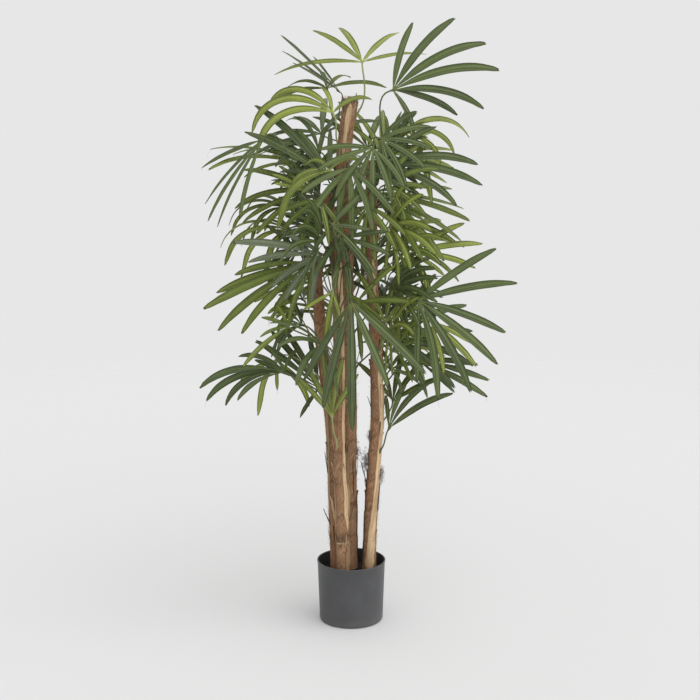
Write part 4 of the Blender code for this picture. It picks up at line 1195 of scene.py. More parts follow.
def addStrip(bm, layers, name, rows, seed):
    # a closed thin body, its lower side sunk in the bark
    uvLayer, acrossLayer = layers
    low, high = rows[0][0], min(rows[-1][0], caneTop(name) - 0.004)
    steps = max(4, round((high - low) / strip["step"]))
    count = strip["pointsAcross"]
    upper, lower = [], []
    for k in range(steps + 1):
        z = low + (high - low) * k / steps
        left, right = pathAt(rows, z)
        ends = min(z - low, high - z) / min(strip["endTaper"], (high - low) / 5)
        taper = min(1.0, 0.15 + ends)
        middle = (left + right) / 2 + strip["waver"] * noise.noise((seed, z * 22, 0.5))
        half = (right - left) / 2 * taper * (1 + 0.22 * noise.noise((seed, z * 60, 4.5)))
        peel = strip["peel"] * max(0.0, 1 - (high - z) / strip["peelLength"]) ** 2
        top, bottom = [], []
        for i in range(count):
            across = -1 + 2 * i / (count - 1)
            jag = 0.10 * noise.noise((seed + 9, z * 160, across * 3)) if abs(across) == 1 else 0.0
            angle = math.radians(middle + half * (across + jag) - 90)
            base = barkRadius(name, z, angle)
            fold = 0.35 * math.cos(across * 2.5 * math.pi + seed) * strip["proud"]
            rise = strip["proud"] * (1 - 0.75 * across**4) + fold * (1 - across**2) + peel
            for ring, radius in ((top, base + rise), (bottom, base - strip["sunk"] + peel)):
                vertex = bm.verts.new(onCane(name, z, angle, radius))
                vertex[acrossLayer] = across
                ring.append(vertex)
        upper.append(top)
        lower.append(bottom)

    def addFace(corners, turns):
        face = bm.faces.new(corners)
        for loop, (i, k) in zip(face.loops, turns):
            loop[uvLayer].uv = (seed + i * 0.0016, seed + k * strip["step"])

    last = count - 1
    for k in range(steps):
        for i in range(last):
            turns = ((i, k), (i + 1, k), (i + 1, k + 1), (i, k + 1))
            addFace((upper[k][i], upper[k][i + 1], upper[k + 1][i + 1], upper[k + 1][i]), turns)
            addFace((lower[k][i], lower[k + 1][i], lower[k + 1][i + 1], lower[k][i + 1]),
                    (turns[0], turns[3], turns[2], turns[1]))
        for i, order in ((0, 1), (last, -1)):
            corners = (upper[k][i], upper[k + 1][i], lower[k + 1][i], lower[k][i])[::order]
            addFace(corners, ((i, k), (i, k + 1), (i, k + 1), (i, k))[::order])
    for k, order in ((0, 1), (steps, -1)):
        corners = (upper[k] + lower[k][::-1])[::-order]
        bm.faces.new(corners)


def makeStrips():
    rows = list(namedStrips) + spareStrips()
    for tone, material in huskMaterials.items():
        bm = bmesh.new()
        layers = (bm.loops.layers.uv.new("UVMap"), bm.verts.layers.float.new("across"))
        for k, (name, stripTone, path) in enumerate(rows):
            if stripTone == tone:
                addStrip(bm, layers, name, path, 1.7 * k + 0.3)
        bmesh.ops.recalc_face_normals(bm, faces=bm.faces[:])
        finishPiece(keepPiece(bm, material, "husk_strips_" + tone, strip["sharpFrom"]), "cane_fibre")


makeStrips()


# Broken twigs, cords and peeled edges: cane, foot height and degrees, tip height and degrees, how far the tip
# stands off, how far the middle bows out, half width at the foot and the tip

stubs = (
    ("stem_a", 0.362, -58, 0.433, -82, 0.0055, 0.001, 0.0024, 0.0014),
    ("stem_a", 0.246, -52, 0.289, -76, 0.0130, 0.002, 0.0026, 0.0016),
    ("stem_d", 0.345, -80, 0.410, -84, 0.0180, 0.004, 0.0024, 0.0013),
    ("stem_d", 0.330, -84, 0.388, -80, 0.0090, 0.003, 0.0018, 0.0010),
    ("stem_d", 0.538, -72, 0.578, -86, 0.0090, 0.001, 0.0017, 0.0012),
    ("stem_d", 0.352, 80, 0.398, 86, 0.0028, 0.002, 0.0014, 0.0007),
    ("stem_c", 0.362, 76, 0.447, 74, 0.0008, 0.004, 0.0009, 0.0008),
    ("stem_b", 0.700, -70, 0.735, -82, 0.0100, 0.001, 0.0018, 0.0012),
    ("stem_c", 0.640, 66, 0.690, 80, 0.0110, 0.002, 0.0018, 0.0012),
    ("stem_a", 0.470, 150, 0.520, 165, 0.0120, 0.002, 0.0018, 0.0012),
    ("stem_b", 0.420, 120, 0.465, 110, 0.0100, 0.001, 0.0018, 0.0012),
    ("stem_c", 0.380, 175, 0.435, 190, 0.0130, 0.002, 0.0018, 0.0012),
    ("stem_d", 0.420, 140, 0.470, 150, 0.0110, 0.002, 0.0018, 0.0012),
    ("stem_d", 0.230, 190, 0.270, 205, 0.0100, 0.002, 0.0016, 0.0010),
)


stub = {"points": 9, "sunk": 0.0012, "outPower": 1.6, "shades": (0.2, 0.25, 0.3, 0.35, 0.4)}


def caneRib(name, places, number, ownShade):
    # a rib that follows a cane; of each place: height, angle, how far it stands off the bark, half width
    spots = [onCane(name, z, angle, barkRadius(name, z, angle) + off) for z, angle, off, _ in places]
    facings = [outward(angle) for _, angle, _, _ in places]
    return Rib(spots, facings, [half for _, _, _, half in places], number, ownShade)


def stubRibs(rows):
    ribs = []
    for k, (name, low, lowTurn, high, highTurn, off, bow, wide, narrow) in enumerate(rows):
        places = []
        for i in range(stub["points"]):
            t = i / (stub["points"] - 1)
            angle = math.radians(lowTurn + (highTurn - lowTurn) * t - 90)
            out = -stub["sunk"] + (off + stub["sunk"]) * t ** stub["outPower"] + bow * math.sin(math.pi * t)
            places.append((low + (high - low) * t, angle, out, wide + (narrow - wide) * t))
        ribs.append(caneRib(name, places, k, stub["shades"][k % len(stub["shades"])]))
    return ribs


# cords tied round the canes: cane, height at the front, slant in metres
ties = (
    ("stem_b", 0.214, 0.003), ("stem_c", 0.560, -0.004), ("stem_d", 0.690, 0.004), ("stem_a", 0.590, 0.003),
)
cord = {
    "rounds": ((0.0, 0.0), (0.9, 0.0011)),   # where each starts, in radians, and how much higher it lies
    "steps": 40, "waver": 0.0008, "proud": 0.0004, "half": 0.00085,
}


def tieRibs():
    ribs = []
    for k, (name, height, slant) in enumerate(ties):
        for start, shift in cord["rounds"]:
            places = []
            for i in range(cord["steps"] + 1):
                angle = -math.pi / 2 + start + 2 * math.pi * i / cord["steps"]
                z = height + shift + slant * math.sin(angle) + cord["waver"] * math.sin(3 * angle + k)
                places.append((z, angle, cord["proud"], cord["half"]))
            ribs.append(caneRib(name, places, k, 0.4 + 0.2 * (k % 3)))
    return ribs


# torn bark that stands up past the cut tops, and curls of it lower down, laid out as the stubs are
flaps = (
    ("stem_c", 1.268, 30, 1.322, 48, 0.0010, 0.001, 0.0060, 0.0016),
    ("stem_c", 1.272, -10, 1.313, -4, 0.0005, 0.001, 0.0070, 0.0020),
    ("stem_c", 1.270, -62, 1.310, -72, 0.0020, 0.001, 0.0060, 0.0014),
    ("stem_c", 1.274, 118, 1.316, 130, 0.0020, 0.001, 0.0065, 0.0014),
    ("stem_c", 1.270, 205, 1.312, 196, 0.0030, 0.001, 0.0065, 0.0014),
    ("stem_c", 0.256, 2, 0.284, 24, 0.0040, 0.003, 0.0022, 0.0010),
    ("stem_a", 0.885, -20, 0.927, -12, 0.0008, 0.001, 0.0055, 0.0014),
    ("stem_a", 0.885, 140, 0.926, 132, 0.0012, 0.001, 0.0055, 0.0014),
    ("stem_b", 1.045, 34, 1.087, 42, 0.0008, 0.001, 0.0055, 0.0014),
    ("stem_b", 1.045, 188, 1.086, 180, 0.0012, 0.001, 0.0055, 0.0014),
    ("stem_d", 1.125, -30, 1.167, -24, 0.0008, 0.001, 0.0055, 0.0014),
    ("stem_d", 1.125, 110, 1.166, 118, 0.0012, 0.001, 0.0055, 0.0014),
    ("stem_d", 0.455, -66, 0.486, -78, 0.0040, 0.003, 0.0030, 0.0010),
    ("stem_b", 0.205, -60, 0.232, -66, 0.0030, 0.002, 0.0040, 0.0012),
    ("stem_b", 0.205, 30, 0.236, 36, 0.0022, 0.002, 0.0040, 0.0012),
    ("stem_a", 0.200, -64, 0.240, -74, 0.0030, 0.002, 0.0045, 0.0012),
)

# tangles of netting caught on a cane: cane, height, degrees, how far it stands off, half height, threads
nets = (
    ("stem_d", 0.412, -80, 0.0100, 0.0270, 76), ("stem_d", 0.378, 84, 0.0050, 0.0220, 46),
    ("stem_d", 0.476, -76, 0.0040, 0.0090, 20),
    ("stem_c", 0.432, 78, 0.0022, 0.0280, 26), ("stem_a", 0.330, 165, 0.0060, 0.0200, 26),
    ("stem_c", 0.520, 190, 0.0060, 0.0220, 26),
)


net = {"seed": 31, "points": 9, "step": 0.0042, "half": 0.00034, "pull": 0.35, "fill": 0.7}


def netRibs():
    # thin threads that curl about inside a flat oval
    ribs = []
    for k, (name, height, turn, off, tall, count) in enumerate(nets):
        rng = random.Random(net["seed"] + k)
        angle = math.radians(turn - 90)
        centre = onCane(name, height, angle, barkRadius(name, height, angle) + off / 2)
        size = Vector((off * 0.75 + 0.0015, off * 0.75 + 0.0015, tall))
        for i in range(count):
            spot = centre + Vector(rng.uniform(-1, 1) * size[n] for n in range(3)) * net["fill"]
            heading = Vector((rng.gauss(0, 1), rng.gauss(0, 1), rng.gauss(0, 1.5))).normalized()
            spots = []
            for _ in range(net["points"]):
                spots.append(spot.copy())
                pull = Vector((centre[n] - spot[n]) / size[n] for n in range(3)) * net["pull"]
                turnBy = Vector((rng.gauss(0, 0.5), rng.gauss(0, 0.5), rng.gauss(0, 0.6)))
                heading = (heading + pull + turnBy).normalized()
                spot = spot + heading * net["step"]
            count = len(spots)
            ribs.append(Rib(spots, [outward(angle)] * count, [net["half"]] * count, i, rng.random()))
    return ribs


# frayed fibres: cane, height, degrees from and to, how many, longest
frays = (
    ("stem_b", 0.216, -85, 85, 46, 0.022), ("stem_c", 1.292, -180, 180, 60, 0.020),
    ("stem_d", 0.468, -95, -50, 12, 0.016), ("stem_c", 0.290, 20, 80, 14, 0.018),
    ("stem_a", 0.905, -180, 180, 26, 0.014), ("stem_b", 1.066, -180, 180, 26, 0.014),
    ("stem_d", 1.146, -180, 180, 26, 0.014), ("stem_b", 0.216, 95, 265, 16, 0.016),
)
fray = {
    "seed": 97, "lipEach": 13, "lipLongest": 0.017, "lipDrop": 0.004,   # the ends at every wrap's lip
    "points": 5, "sunk": 0.0008, "outPower": 1.4, "narrower": 0.6, "pastTop": 0.008,
    "footSpread": 0.006, "lengths": (0.4, 1.0), "slants": (-0.35, 0.35), "off": (0.0006, 0.0042),
    "half": (0.0004, 0.0010),
}


def frayRibs():
    # short loose ends that point up and a little out, at the named places and at the lip of every wrap
    rows = list(frays)
    for name in canes:
        count = round((caneTop(name) - bark["foot"]) / bark["wrapLength"])
        length = (caneTop(name) - bark["foot"]) / count
        for k in range(1, count):
            height = bark["foot"] + length * k - fray["lipDrop"]
            rows.append((name, height, -180, 180, fray["lipEach"], fray["lipLongest"]))
    ribs = []
    rng = random.Random(fray["seed"])
    for name, height, left, right, count, longest in rows:
        for _ in range(count):
            angle = math.radians(rng.uniform(left, right) - 90)
            foot = height + rng.uniform(-fray["footSpread"], fray["footSpread"])
            long, slant = longest * rng.uniform(*fray["lengths"]), rng.uniform(*fray["slants"])
            off, wide = rng.uniform(*fray["off"]), rng.uniform(*fray["half"])
            places = []
            for i in range(fray["points"]):
                t = i / (fray["points"] - 1)
                z = min(foot + long * t, caneTop(name) + fray["pastTop"])
                out = -fray["sunk"] + (off + fray["sunk"]) * t ** fray["outPower"]
                places.append((z, angle + slant * t, out, wide * (1 - fray["narrower"] * t)))
            ribs.append(caneRib(name, places, len(ribs), rng.random()))
    return ribs


# name, ribs, sides, flatness, material
rodPieces = (
    ("frayed_fibres", frayRibs(), 5, 0.5, fibreMaterials["fibre_hair"]),
    ("bark_flaps", stubRibs(flaps), 8, 0.2, huskMaterials["tan"]),
    ("netting_tufts", netRibs(), 4, 1.0, fibreMaterials["fibre_net"]),
    ("broken_twigs", stubRibs(stubs), 7, 0.6, huskMaterials["dark"]),
    ("tie_cords", tieRibs(), 6, 0.8, fibreMaterials["tie_cord"]),
)
for pieceName, pieceRibs, sideCount, flatness, finish in rodPieces:
    piece = runTree(rodTree, ribMesh(pieceName + "_ribs", pieceRibs), pieceName, sides=sideCount,
                    flatness=flatness, material=finish)
    finishPiece(piece, "cane_fibre")
for caneName, caneObject in caneMeshes.items():
    piece = runTree(fibreTree, caneObject.data.copy(), "cane_hairs_" + caneName[-1], seed=ord(caneName[-1]),
                    material=fibreMaterials["fibre_hair"], **hairs)
    finishPiece(piece, "cane_fibre")
print("strips, stubs, ties and hairs made")


# The fronds, as they are set. Lengths are in metres and angles in degrees

class Frond(NamedTuple):
    stem: str
    height: float   # where the stalk leaves the cane
    hub: tuple      # where the leaflets meet
    bearing: float  # of the fan's middle seen from the front: 0 to the right, 90 up
    lean: float     # of the fan's middle towards the front
    face: float     # 0 where the blade faces the front, 90 where it faces up
    length: float
    droop: float    # how far the tips have bent down
    # the light and grey tones carry painted light and a painted sheen, as leafLooks says
    tone: str
    fan: tuple      # for each leaflet, its turn from the fan's middle and its share of the length


def even(spread, count):
    # a fan whose leaflets are evenly spread, the outer ones a little shorter
    turns = (spread * (k / (count - 1) - 0.5) for k in range(count))
    return tuple((turn, 1 - 0.18 * (2 * turn / spread) ** 2) for turn in turns)


# the fronds that show from the front, from the top down
frontFronds = (
    Frond("stem_c", 1.270, (0.026, 0.040, 1.393), 90, -50, 0, 0.215, 26, "light",
          ((-62, 0.80), (-30, 0.87), (14, 0.84), (37, 0.92), (80, 1.0))),
    Frond("stem_d", 1.130, (0.098, -0.030, 1.328), 15, 0, 8, 0.250, 38, "dark",
          ((-69, 0.48), (-24, 0.64), (-7, 0.88), (13, 1.0), (29, 1.03), (46, 0.95), (69, 0.68))),
    Frond("stem_c", 1.190, (-0.044, -0.005, 1.274), 120, -12, 20, 0.230, 100, "light",
          ((-66, 0.46), (-20, 0.50), (10, 0.80), (28, 1.05), (48, 1.0))),
    Frond("stem_c", 1.225, (-0.059, 0.070, 1.331), 105, -50, 10, 0.180, 50, "mid",
          ((-75, 0.88), (-38, 0.64), (0, 0.55), (38, 0.72), (72, 0.96))),
    Frond("stem_c", 1.250, (-0.030, 0.045, 1.325), 136, 0, 70, 0.192, 8, "dark",
          ((-30, 0.60), (-13, 0.86), (5, 1.0), (24, 0.70))),
    Frond("stem_b", 1.060, (-0.051, -0.040, 1.121), 138, -8, 20, 0.260, 22, "dark",
          ((-50, 0.50), (-24, 0.58), (-12, 1.0), (0, 0.80), (9, 0.88), (22, 0.48))),
    Frond("stem_c", 1.100, (-0.051, -0.085, 1.143), 170, 5, 20, 0.185, 100, "light",
          ((-116, 0.62), (-50, 0.42), (0, 0.60), (20, 1.05))),
    Frond("stem_c", 1.120, (-0.100, 0.040, 1.143), 158, 0, 74, 0.245, 42, "mid",
          ((-60, 0.60), (-40, 0.80), (-22, 0.92), (-6, 1.02), (10, 1.05), (25, 0.72))),
    Frond("stem_b", 1.050, (-0.211, -0.060, 1.213), 230, 0, 66, 0.230, 20, "dark",
          ((-46, 0.90), (-24, 1.0), (-4, 1.02), (16, 0.98), (38, 0.88))),
    Frond("stem_b", 0.960, (-0.068, -0.075, 1.010), 134, -15, 10, 0.195, 22, "dark",
          ((-60, 0.70), (-12, 0.90), (3, 0.62), (19, 0.50))),
    Frond("stem_b", 0.900, (-0.069, -0.085, 0.945), 186, 8, 12, 0.175, 26, "grey",
          ((-46, 0.62), (-24, 1.22), (-11, 1.0), (12, 0.85), (34, 0.80), (66, 0.75))),
    Frond("stem_a", 0.895, (-0.151, 0.050, 0.988), 160, 0, 70, 0.210, 105, "light", even(120, 6)),
    Frond("stem_a", 0.850, (-0.165, 0.095, 1.040), 158, -20, 60, 0.180, 100, "mid", even(110, 5)),
    Frond("stem_b", 0.840, (-0.094, -0.050, 0.922), 205, 0, 20, 0.270, 20, "mid",
          ((-25, 0.70), (-15, 0.92), (-6, 1.02), (2, 1.03), (11, 0.88), (21, 0.62), (36, 0.45), (58, 0.42))),
    Frond("stem_b", 0.700, (-0.152, -0.090, 0.771), 145, 30, 10, 0.165, 30, "mid",
          ((-64, 0.80), (-36, 0.45), (-4, 0.50), (30, 0.45), (58, 0.92))),
    Frond("stem_a", 0.580, (-0.165, -0.030, 0.648), 150, 5, 22, 0.225, 62, "dark",
          ((-78, 0.36), (-42, 0.50), (-12, 0.55), (15, 1.0), (22, 0.96), (29, 0.80), (39, 0.64))),
    Frond("stem_a", 0.620, (-0.190, 0.080, 0.655), 230, -5, 10, 0.150, 55, "light",
          ((-34, 0.85), (2, 1.0), (42, 0.50), (92, 1.0))),
    Frond("stem_a", 0.530, (-0.081, 0.060, 0.588), 132, -12, 20, 0.190, 10, "dark",
          ((-30, 0.75), (-14, 0.90), (-3, 1.0), (8, 1.0), (18, 0.90), (95, 0.48))),
    Frond("stem_b", 0.480, (-0.047, -0.070, 0.544), 97, -10, 0, 0.150, 12, "light",
          ((-32, 0.80), (-15, 1.0), (0, 1.08), (14, 1.0), (30, 0.88))),
    Frond("stem_b", 0.800, (-0.001, -0.150, 0.842), 280, 20, 0, 0.265, 8, "dark",
          ((-42, 0.78), (-28, 1.0), (-9, 1.12), (17, 0.84), (40, 0.88))),
    Frond("stem_d", 0.775, (0.012, -0.090, 0.830), 350, 45, 10, 0.170, 16, "mid", even(120, 4)),
    Frond("stem_d", 0.800, (0.159, -0.110, 0.839), 332, 4, 0, 0.240, 20, "dark",
          ((-61, 0.80), (-42, 0.98), (-23, 1.04), (-6, 1.02), (12, 0.95), (44, 0.98), (70, 0.90))),
    Frond("stem_d", 0.880, (0.145, 0.000, 0.937), 5, -10, 20, 0.168, 22, "light",
          ((-62, 0.55), (-32, 0.60), (-7, 0.98), (9, 1.06), (30, 0.95))),
    Frond("stem_d", 0.970, (0.112, 0.030, 1.022), 300, -8, 10, 0.165, 18, "light",
          ((-50, 0.70), (-14, 0.80), (18, 0.76), (42, 1.05))),
    Frond("stem_d", 1.080, (0.075, -0.055, 1.156), 0, 0, 10, 0.235, 34, "dark",
          ((-112, 0.38), (-52, 0.55), (-14, 0.84), (1, 1.02), (18, 1.0), (46, 0.66), (70, 0.60))),
    Frond("stem_d", 1.010, (0.045, 0.065, 1.078), 350, 0, 60, 0.262, 24, "mid",
          ((-48, 0.90), (-32, 1.0), (-16, 1.0), (0, 0.97), (16, 0.95), (34, 0.90))),
    Frond("stem_d", 1.145, (0.126, 0.060, 1.228), 4, -10, 30, 0.180, 80, "light",
          ((-52, 1.05), (-20, 0.70), (5, 0.85), (28, 1.12))),
    Frond("stem_d", 0.500, (0.105, 0.060, 0.554), 80, -15, 10, 0.150, 20, "mid",
          ((-50, 0.95), (-24, 1.0), (0, 1.0), (23, 1.0), (48, 0.90))),
    Frond("stem_d", 0.440, (0.093, -0.025, 0.504), 62, -8, 20, 0.168, 32, "dark",
          ((-21, 1.05), (1, 0.95), (15, 0.70), (34, 0.55))),
    Frond("stem_d", 0.600, (0.165, 0.060, 0.660), 350, 0, 30, 0.190, 14, "dark",
          ((-26, 0.65), (-14, 1.0), (-3, 1.02), (11, 0.82), (34, 0.60))),
    Frond("stem_d", 0.720, (0.193, 0.005, 0.770), 312, -8, 20, 0.175, 14, "light", even(44, 4)),
    Frond("stem_d", 0.700, (0.082, -0.055, 0.777), 82, -40, 10, 0.150, 20, "mid", even(110, 5)),
    Frond("stem_c", 0.810, (0.024, 0.060, 0.866), 72, -35, 10, 0.165, 20, "dark", even(100, 6)),
    Frond("stem_b", 0.985, (-0.045, -0.115, 1.019), 316, 8, 10, 0.150, 14, "dark",
          ((-80, 0.55), (-30, 0.60), (0, 1.0), (40, 0.60), (100, 0.85))),
    Frond("stem_a", 0.900, (-0.093, 0.110, 0.996), 104, -35, 10, 0.190, 20, "dark",
          ((-60, 0.82), (-36, 0.95), (-12, 1.0), (12, 0.95), (34, 0.62), (54, 0.50))),
    Frond("stem_c", 1.070, (0.040, 0.110, 1.185), 50, -50, 10, 0.200, 35, "mid", even(150, 6)),
    Frond("stem_b", 0.800, (-0.044, -0.110, 0.858), 256, 10, 10, 0.130, 12, "light",
          ((-46, 0.60), (0, 1.0), (34, 0.62))),
)

# the fronds behind follow one rule: they climb round the back by the golden angle
backRule = {
    "count": 12, "low": 0.72, "high": 1.22, "sweep": (14.0, 166.0), "reach": (0.105, 0.150),
    "length": (0.185, 0.225), "tones": ("dark", "mid", "dark", "light", "dark", "mid", "grey"),
    "goldenShare": 0.618,
}
# small fronds fill the crown close to the canes, all the way round
innerRule = {
    "count": 48, "low": 0.64, "high": 1.20, "foot": (0.05, 0.09), "reach": (0.034, 0.052), "reachMore": 0.040,
    "length": 0.085, "lengthMore": 0.110, "tones": ("dark", "mid", "dark", "light", "dark", "mid", "mid"),
    "goldenAngle": 137.5, "crownLow": (-0.205, -0.232, 0.370), "crownHigh": (0.240, 0.312, 1.490),
}
leaf = {
    "seed": 14,
    "hubRadius": 0.007, "hubGuard": 0.011, "hubGuardDepth": 0.003, "rootDepth": 0.002,
    "width": 0.0225, "fullLength": 0.25, "crowding": 0.88, "depthRatio": 0.0115,
    "stations": ((0.16, 0.50), (0.45, 0.92), (0.78, 0.95), (1.0, 0.38)),  # share of length, share of width
    "clearance": 0.0014, "steps": 24, "leastLeaflets": 3, "shortWidthPower": 0.6,
    "pullAlong": 0.25, "fullestBend": 0.94, "leastGap": math.radians(10), "droopPower": 1.5,
    "crownLow": (-0.372, -0.330, 0.370), "crownHigh": (0.396, 0.320, 1.500),
}
stalk = {
    "footWidth": 0.0045, "width": 0.0040, "depth": 0.0036, "segments": 4,
    "bare": 0.010, "seat": 0.003, "rise": 0.40, "runIn": 0.33,
}


def backFronds():
    rng = random.Random(leaf["seed"])
    names = ("stem_c", "stem_a", "stem_d", "stem_b")
    rows = []
    for i in range(backRule["count"]):
        share = i / (backRule["count"] - 1)
        low, high = backRule["sweep"]
        azimuth = math.radians(low + (high - low) * ((i * backRule["goldenShare"]) % 1))
        height = backRule["low"] + (backRule["high"] - backRule["low"]) * share
        ordered = names if azimuth < 1.9 else names[::-1]
        stem = next(name for name in ordered if caneTop(name) > height - 0.07)
        reach = rng.uniform(*backRule["reach"]) * (1.0 - 0.25 * share)
        hub = (reach * math.cos(azimuth), 0.02 + reach * math.sin(azimuth), height)
        bearing = 90 - 70 * math.cos(azimuth)
        fan = even(rng.uniform(120, 175), rng.choice((6, 7, 8)))
        rows.append(Frond(
            stem, height - rng.uniform(0.05, 0.09), hub, bearing, -75 * math.sin(azimuth),
            rng.uniform(10, 40), rng.uniform(*backRule["length"]), rng.uniform(15, 55),
            backRule["tones"][i % len(backRule["tones"])], fan,
        ))
    return rows


# a few of them cover the cut tops and the stalks at the front
coverFronds = (
    Frond("stem_d", 1.130, (0.050, -0.075, 1.195), 245, 10, 10, 0.150, 30, "dark", even(150, 7)),
    Frond("stem_c", 1.095, (-0.004, -0.080, 1.150), 285, 15, 10, 0.165, 24, "dark", even(170, 8)),
    Frond("stem_d", 1.010, (0.038, -0.080, 1.060), 262, 12, 10, 0.140, 24, "mid", even(140, 7)),
    Frond("stem_b", 0.930, (-0.020, -0.095, 0.985), 300, 12, 10, 0.130, 20, "dark", even(150, 6)),
    Frond("stem_d", 1.060, (0.085, -0.070, 1.110), 20, 8, 15, 0.130, 30, "mid", even(150, 6)),
    Frond("stem_d", 1.100, (0.070, -0.050, 1.215), 335, 5, 10, 0.130, 30, "dark", even(150, 7)),
    Frond("stem_c", 1.020, (0.010, -0.100, 1.085), 330, 20, 10, 0.130, 24, "dark", even(130, 6)),
    Frond("stem_b", 1.020, (-0.075, -0.085, 1.075), 250, 10, 10, 0.130, 30, "mid", even(130, 6)),
)


def innerFronds():
    rng = random.Random(leaf["seed"] + 1)
    rows = list(coverFronds)
    for i in range(innerRule["count"]):
        height = innerRule["low"] + (innerRule["high"] - innerRule["low"]) * (i + 0.5) / innerRule["count"]
        azimuth = math.radians(innerRule["goldenAngle"] * i)
        rise = math.radians(rng.uniform(5, 50))
        tall = [name for name in canes if caneTop(name) > height - 0.04]
        # the cane that stands furthest this way
        aim = outward(azimuth)
        stem = max(tall, key=lambda name: smoothPoint(canes[name][0], min(height, caneTop(name))).dot(aim))
        centre = smoothPoint(canes[stem][0], min(height, caneTop(stem)))
        hub = centre + aim * (rng.uniform(*innerRule["reach"]) + innerRule["reachMore"] * abs(aim.y))
        hub.z = height
        foot = min(height - rng.uniform(*innerRule["foot"]), caneTop(stem) - 0.02)
        bearing = math.degrees(math.atan2(math.sin(rise), math.cos(rise) * aim.x))
        lean = math.degrees(-math.asin(math.cos(rise) * aim.y))
        length = innerRule["length"] + innerRule["lengthMore"] * abs(aim.y) * rng.uniform(0.5, 1.0)
        fan = even(rng.uniform(110, 190), rng.choice((6, 7, 8, 9)))
        rows.append(Frond(
            stem, foot, tuple(hub), bearing, lean, rng.uniform(10, 80), length, rng.uniform(15, 70),
            innerRule["tones"][i % len(innerRule["tones"])], fan,
        ))
    return rows


def frondAxes(frond):
    # the middle leaflet's direction, and the way that the blade's upper side faces
    bearing, lean, face = (math.radians(v) for v in (frond.bearing, frond.lean, frond.face))
    along = Vector((math.cos(lean) * math.cos(bearing), -math.sin(lean), math.cos(lean) * math.sin(bearing)))
    front = Vector((0, -1, 0))
    front = (front - along * front.dot(along)).normalized()
    upward = along.cross(front)
    if upward.z < 0:
        upward.negate()
    return along, (front * math.cos(face) + upward * math.sin(face)).normalized()


# What already has its place is kept as small trees, each with a ball round it, to test a new piece against

placed = []


def sectionFaces(count):
    faces = [(0, 1, 2), (3 * count - 1, 3 * count - 2, 3 * count - 3)]
    for k in range(count - 1):
        a = 3 * k
        for i in range(3):
            j = (i + 1) % 3
            faces.append((a + i, a + 3 + i, a + 3 + j, a + j))
    return faces


def solidOf(vertices, faces):
    centre = sum(vertices, Vector()) / len(vertices)
    radius = max((v - centre).length for v in vertices)
    return centre, radius, BVHTree.FromPolygons([tuple(v) for v in vertices], faces)


def flat(sections):
    return [corner for section in sections for corner in section]


def addPlaced(sections, owner):
    placed.append((*solidOf(flat(sections), sectionFaces(len(sections))), owner))


def hits(sections, skip=lambda owner: False):
    centre, radius, tree = solidOf(flat(sections), sectionFaces(len(sections)))
    for otherCentre, otherRadius, other, owner in placed:
        if skip(owner) or (otherCentre - centre).length > radius + otherRadius:
            continue
        if tree.overlap(other):
            return True
    return False


def bladeSections(spots, sides, normals, halfWidths, depths, grow=0.0):
    # left edge, right edge and keel of each section
    sections = []
    for spot, side, normal, half, depth in zip(spots, sides, normals, halfWidths, depths):
        left = spot + side * (half + grow) + normal * grow
        right = spot - side * (half + grow) + normal * grow
        sections.append((left, right, spot - normal * (depth + grow)))
    return sections


class Leaflet(NamedTuple):
    angle: float
    tilt: float
    length: float
    droop: float
    gap: float


def leafletLine(origin, along, normal, leaflet, shares):
    # points down a leaflet: it leaves the hub in the blade's plane and bends down towards its tip
    across = normal.cross(along)
    start = along * math.cos(leaflet.angle) + across * math.sin(leaflet.angle)
    start = (start * math.cos(leaflet.tilt) + normal * math.sin(leaflet.tilt)).normalized()
    down = (Vector((0, 0, -1)) + leaf["pullAlong"] * start).normalized()
    axis = start.cross(down)
    room = start.angle(down) * leaf["fullestBend"]
    axis = axis.normalized() if axis.length > 1e-4 else across
    spots, directions = [], []
    spot = origin.copy()
    done = 0.0
    for share in shares:
        while done < share - 1e-6:
            step = min(1.0 / leaf["steps"], share - done)
            bend = min(leaflet.droop * (done + step / 2) ** leaf["droopPower"], room)
            spot = spot + (Matrix.Rotation(bend, 3, axis) @ start) * (leaflet.length * step)
            done += step
        bend = min(leaflet.droop * share ** leaf["droopPower"], room)
        spots.append(spot.copy())
        directions.append(Matrix.Rotation(bend, 3, axis) @ start)
    return start, spots, directions


def leafletWidth(length):
    return leaf["width"] * (length / leaf["fullLength"]) ** leaf["shortWidthPower"]


def leafletFrames(normal, start, directions):
    # the side and the upward way at each point, carried on without a twist
    sides, normals = [], []
    side = normal.cross(start).normalized()
    for direction in directions:
        side = (side - direction * side.dot(direction)).normalized()
        sides.append(side)
        normals.append(direction.cross(side).normalized())
    return sides, normals


def leafletSections(hub, along, normal, leaflet, grow=0.0):
    shares = [share for share, _ in leaf["stations"]]
    start, spots, directions = leafletLine(hub, along, normal, leaflet, shares)
    sides, normals = leafletFrames(normal, start, directions)
    halves = []
    for share, width in leaf["stations"]:
        room = leaf["crowding"] * leaflet.length * share * math.sin(leaflet.gap / 2)
        halves.append(min(leafletWidth(leaflet.length) * width / 2, room))
    depths = [leaf["depthRatio"] * leaflet.length] * len(spots)
    return bladeSections(spots, sides, normals, halves, depths, grow)


def caneSide(name, height, towards):
    centre = smoothPoint(canes[name][0], height)
    out = Vector((towards.x - centre.x, towards.y - centre.y, 0)).normalized()
    return centre + out * caneRadius(name, height), out


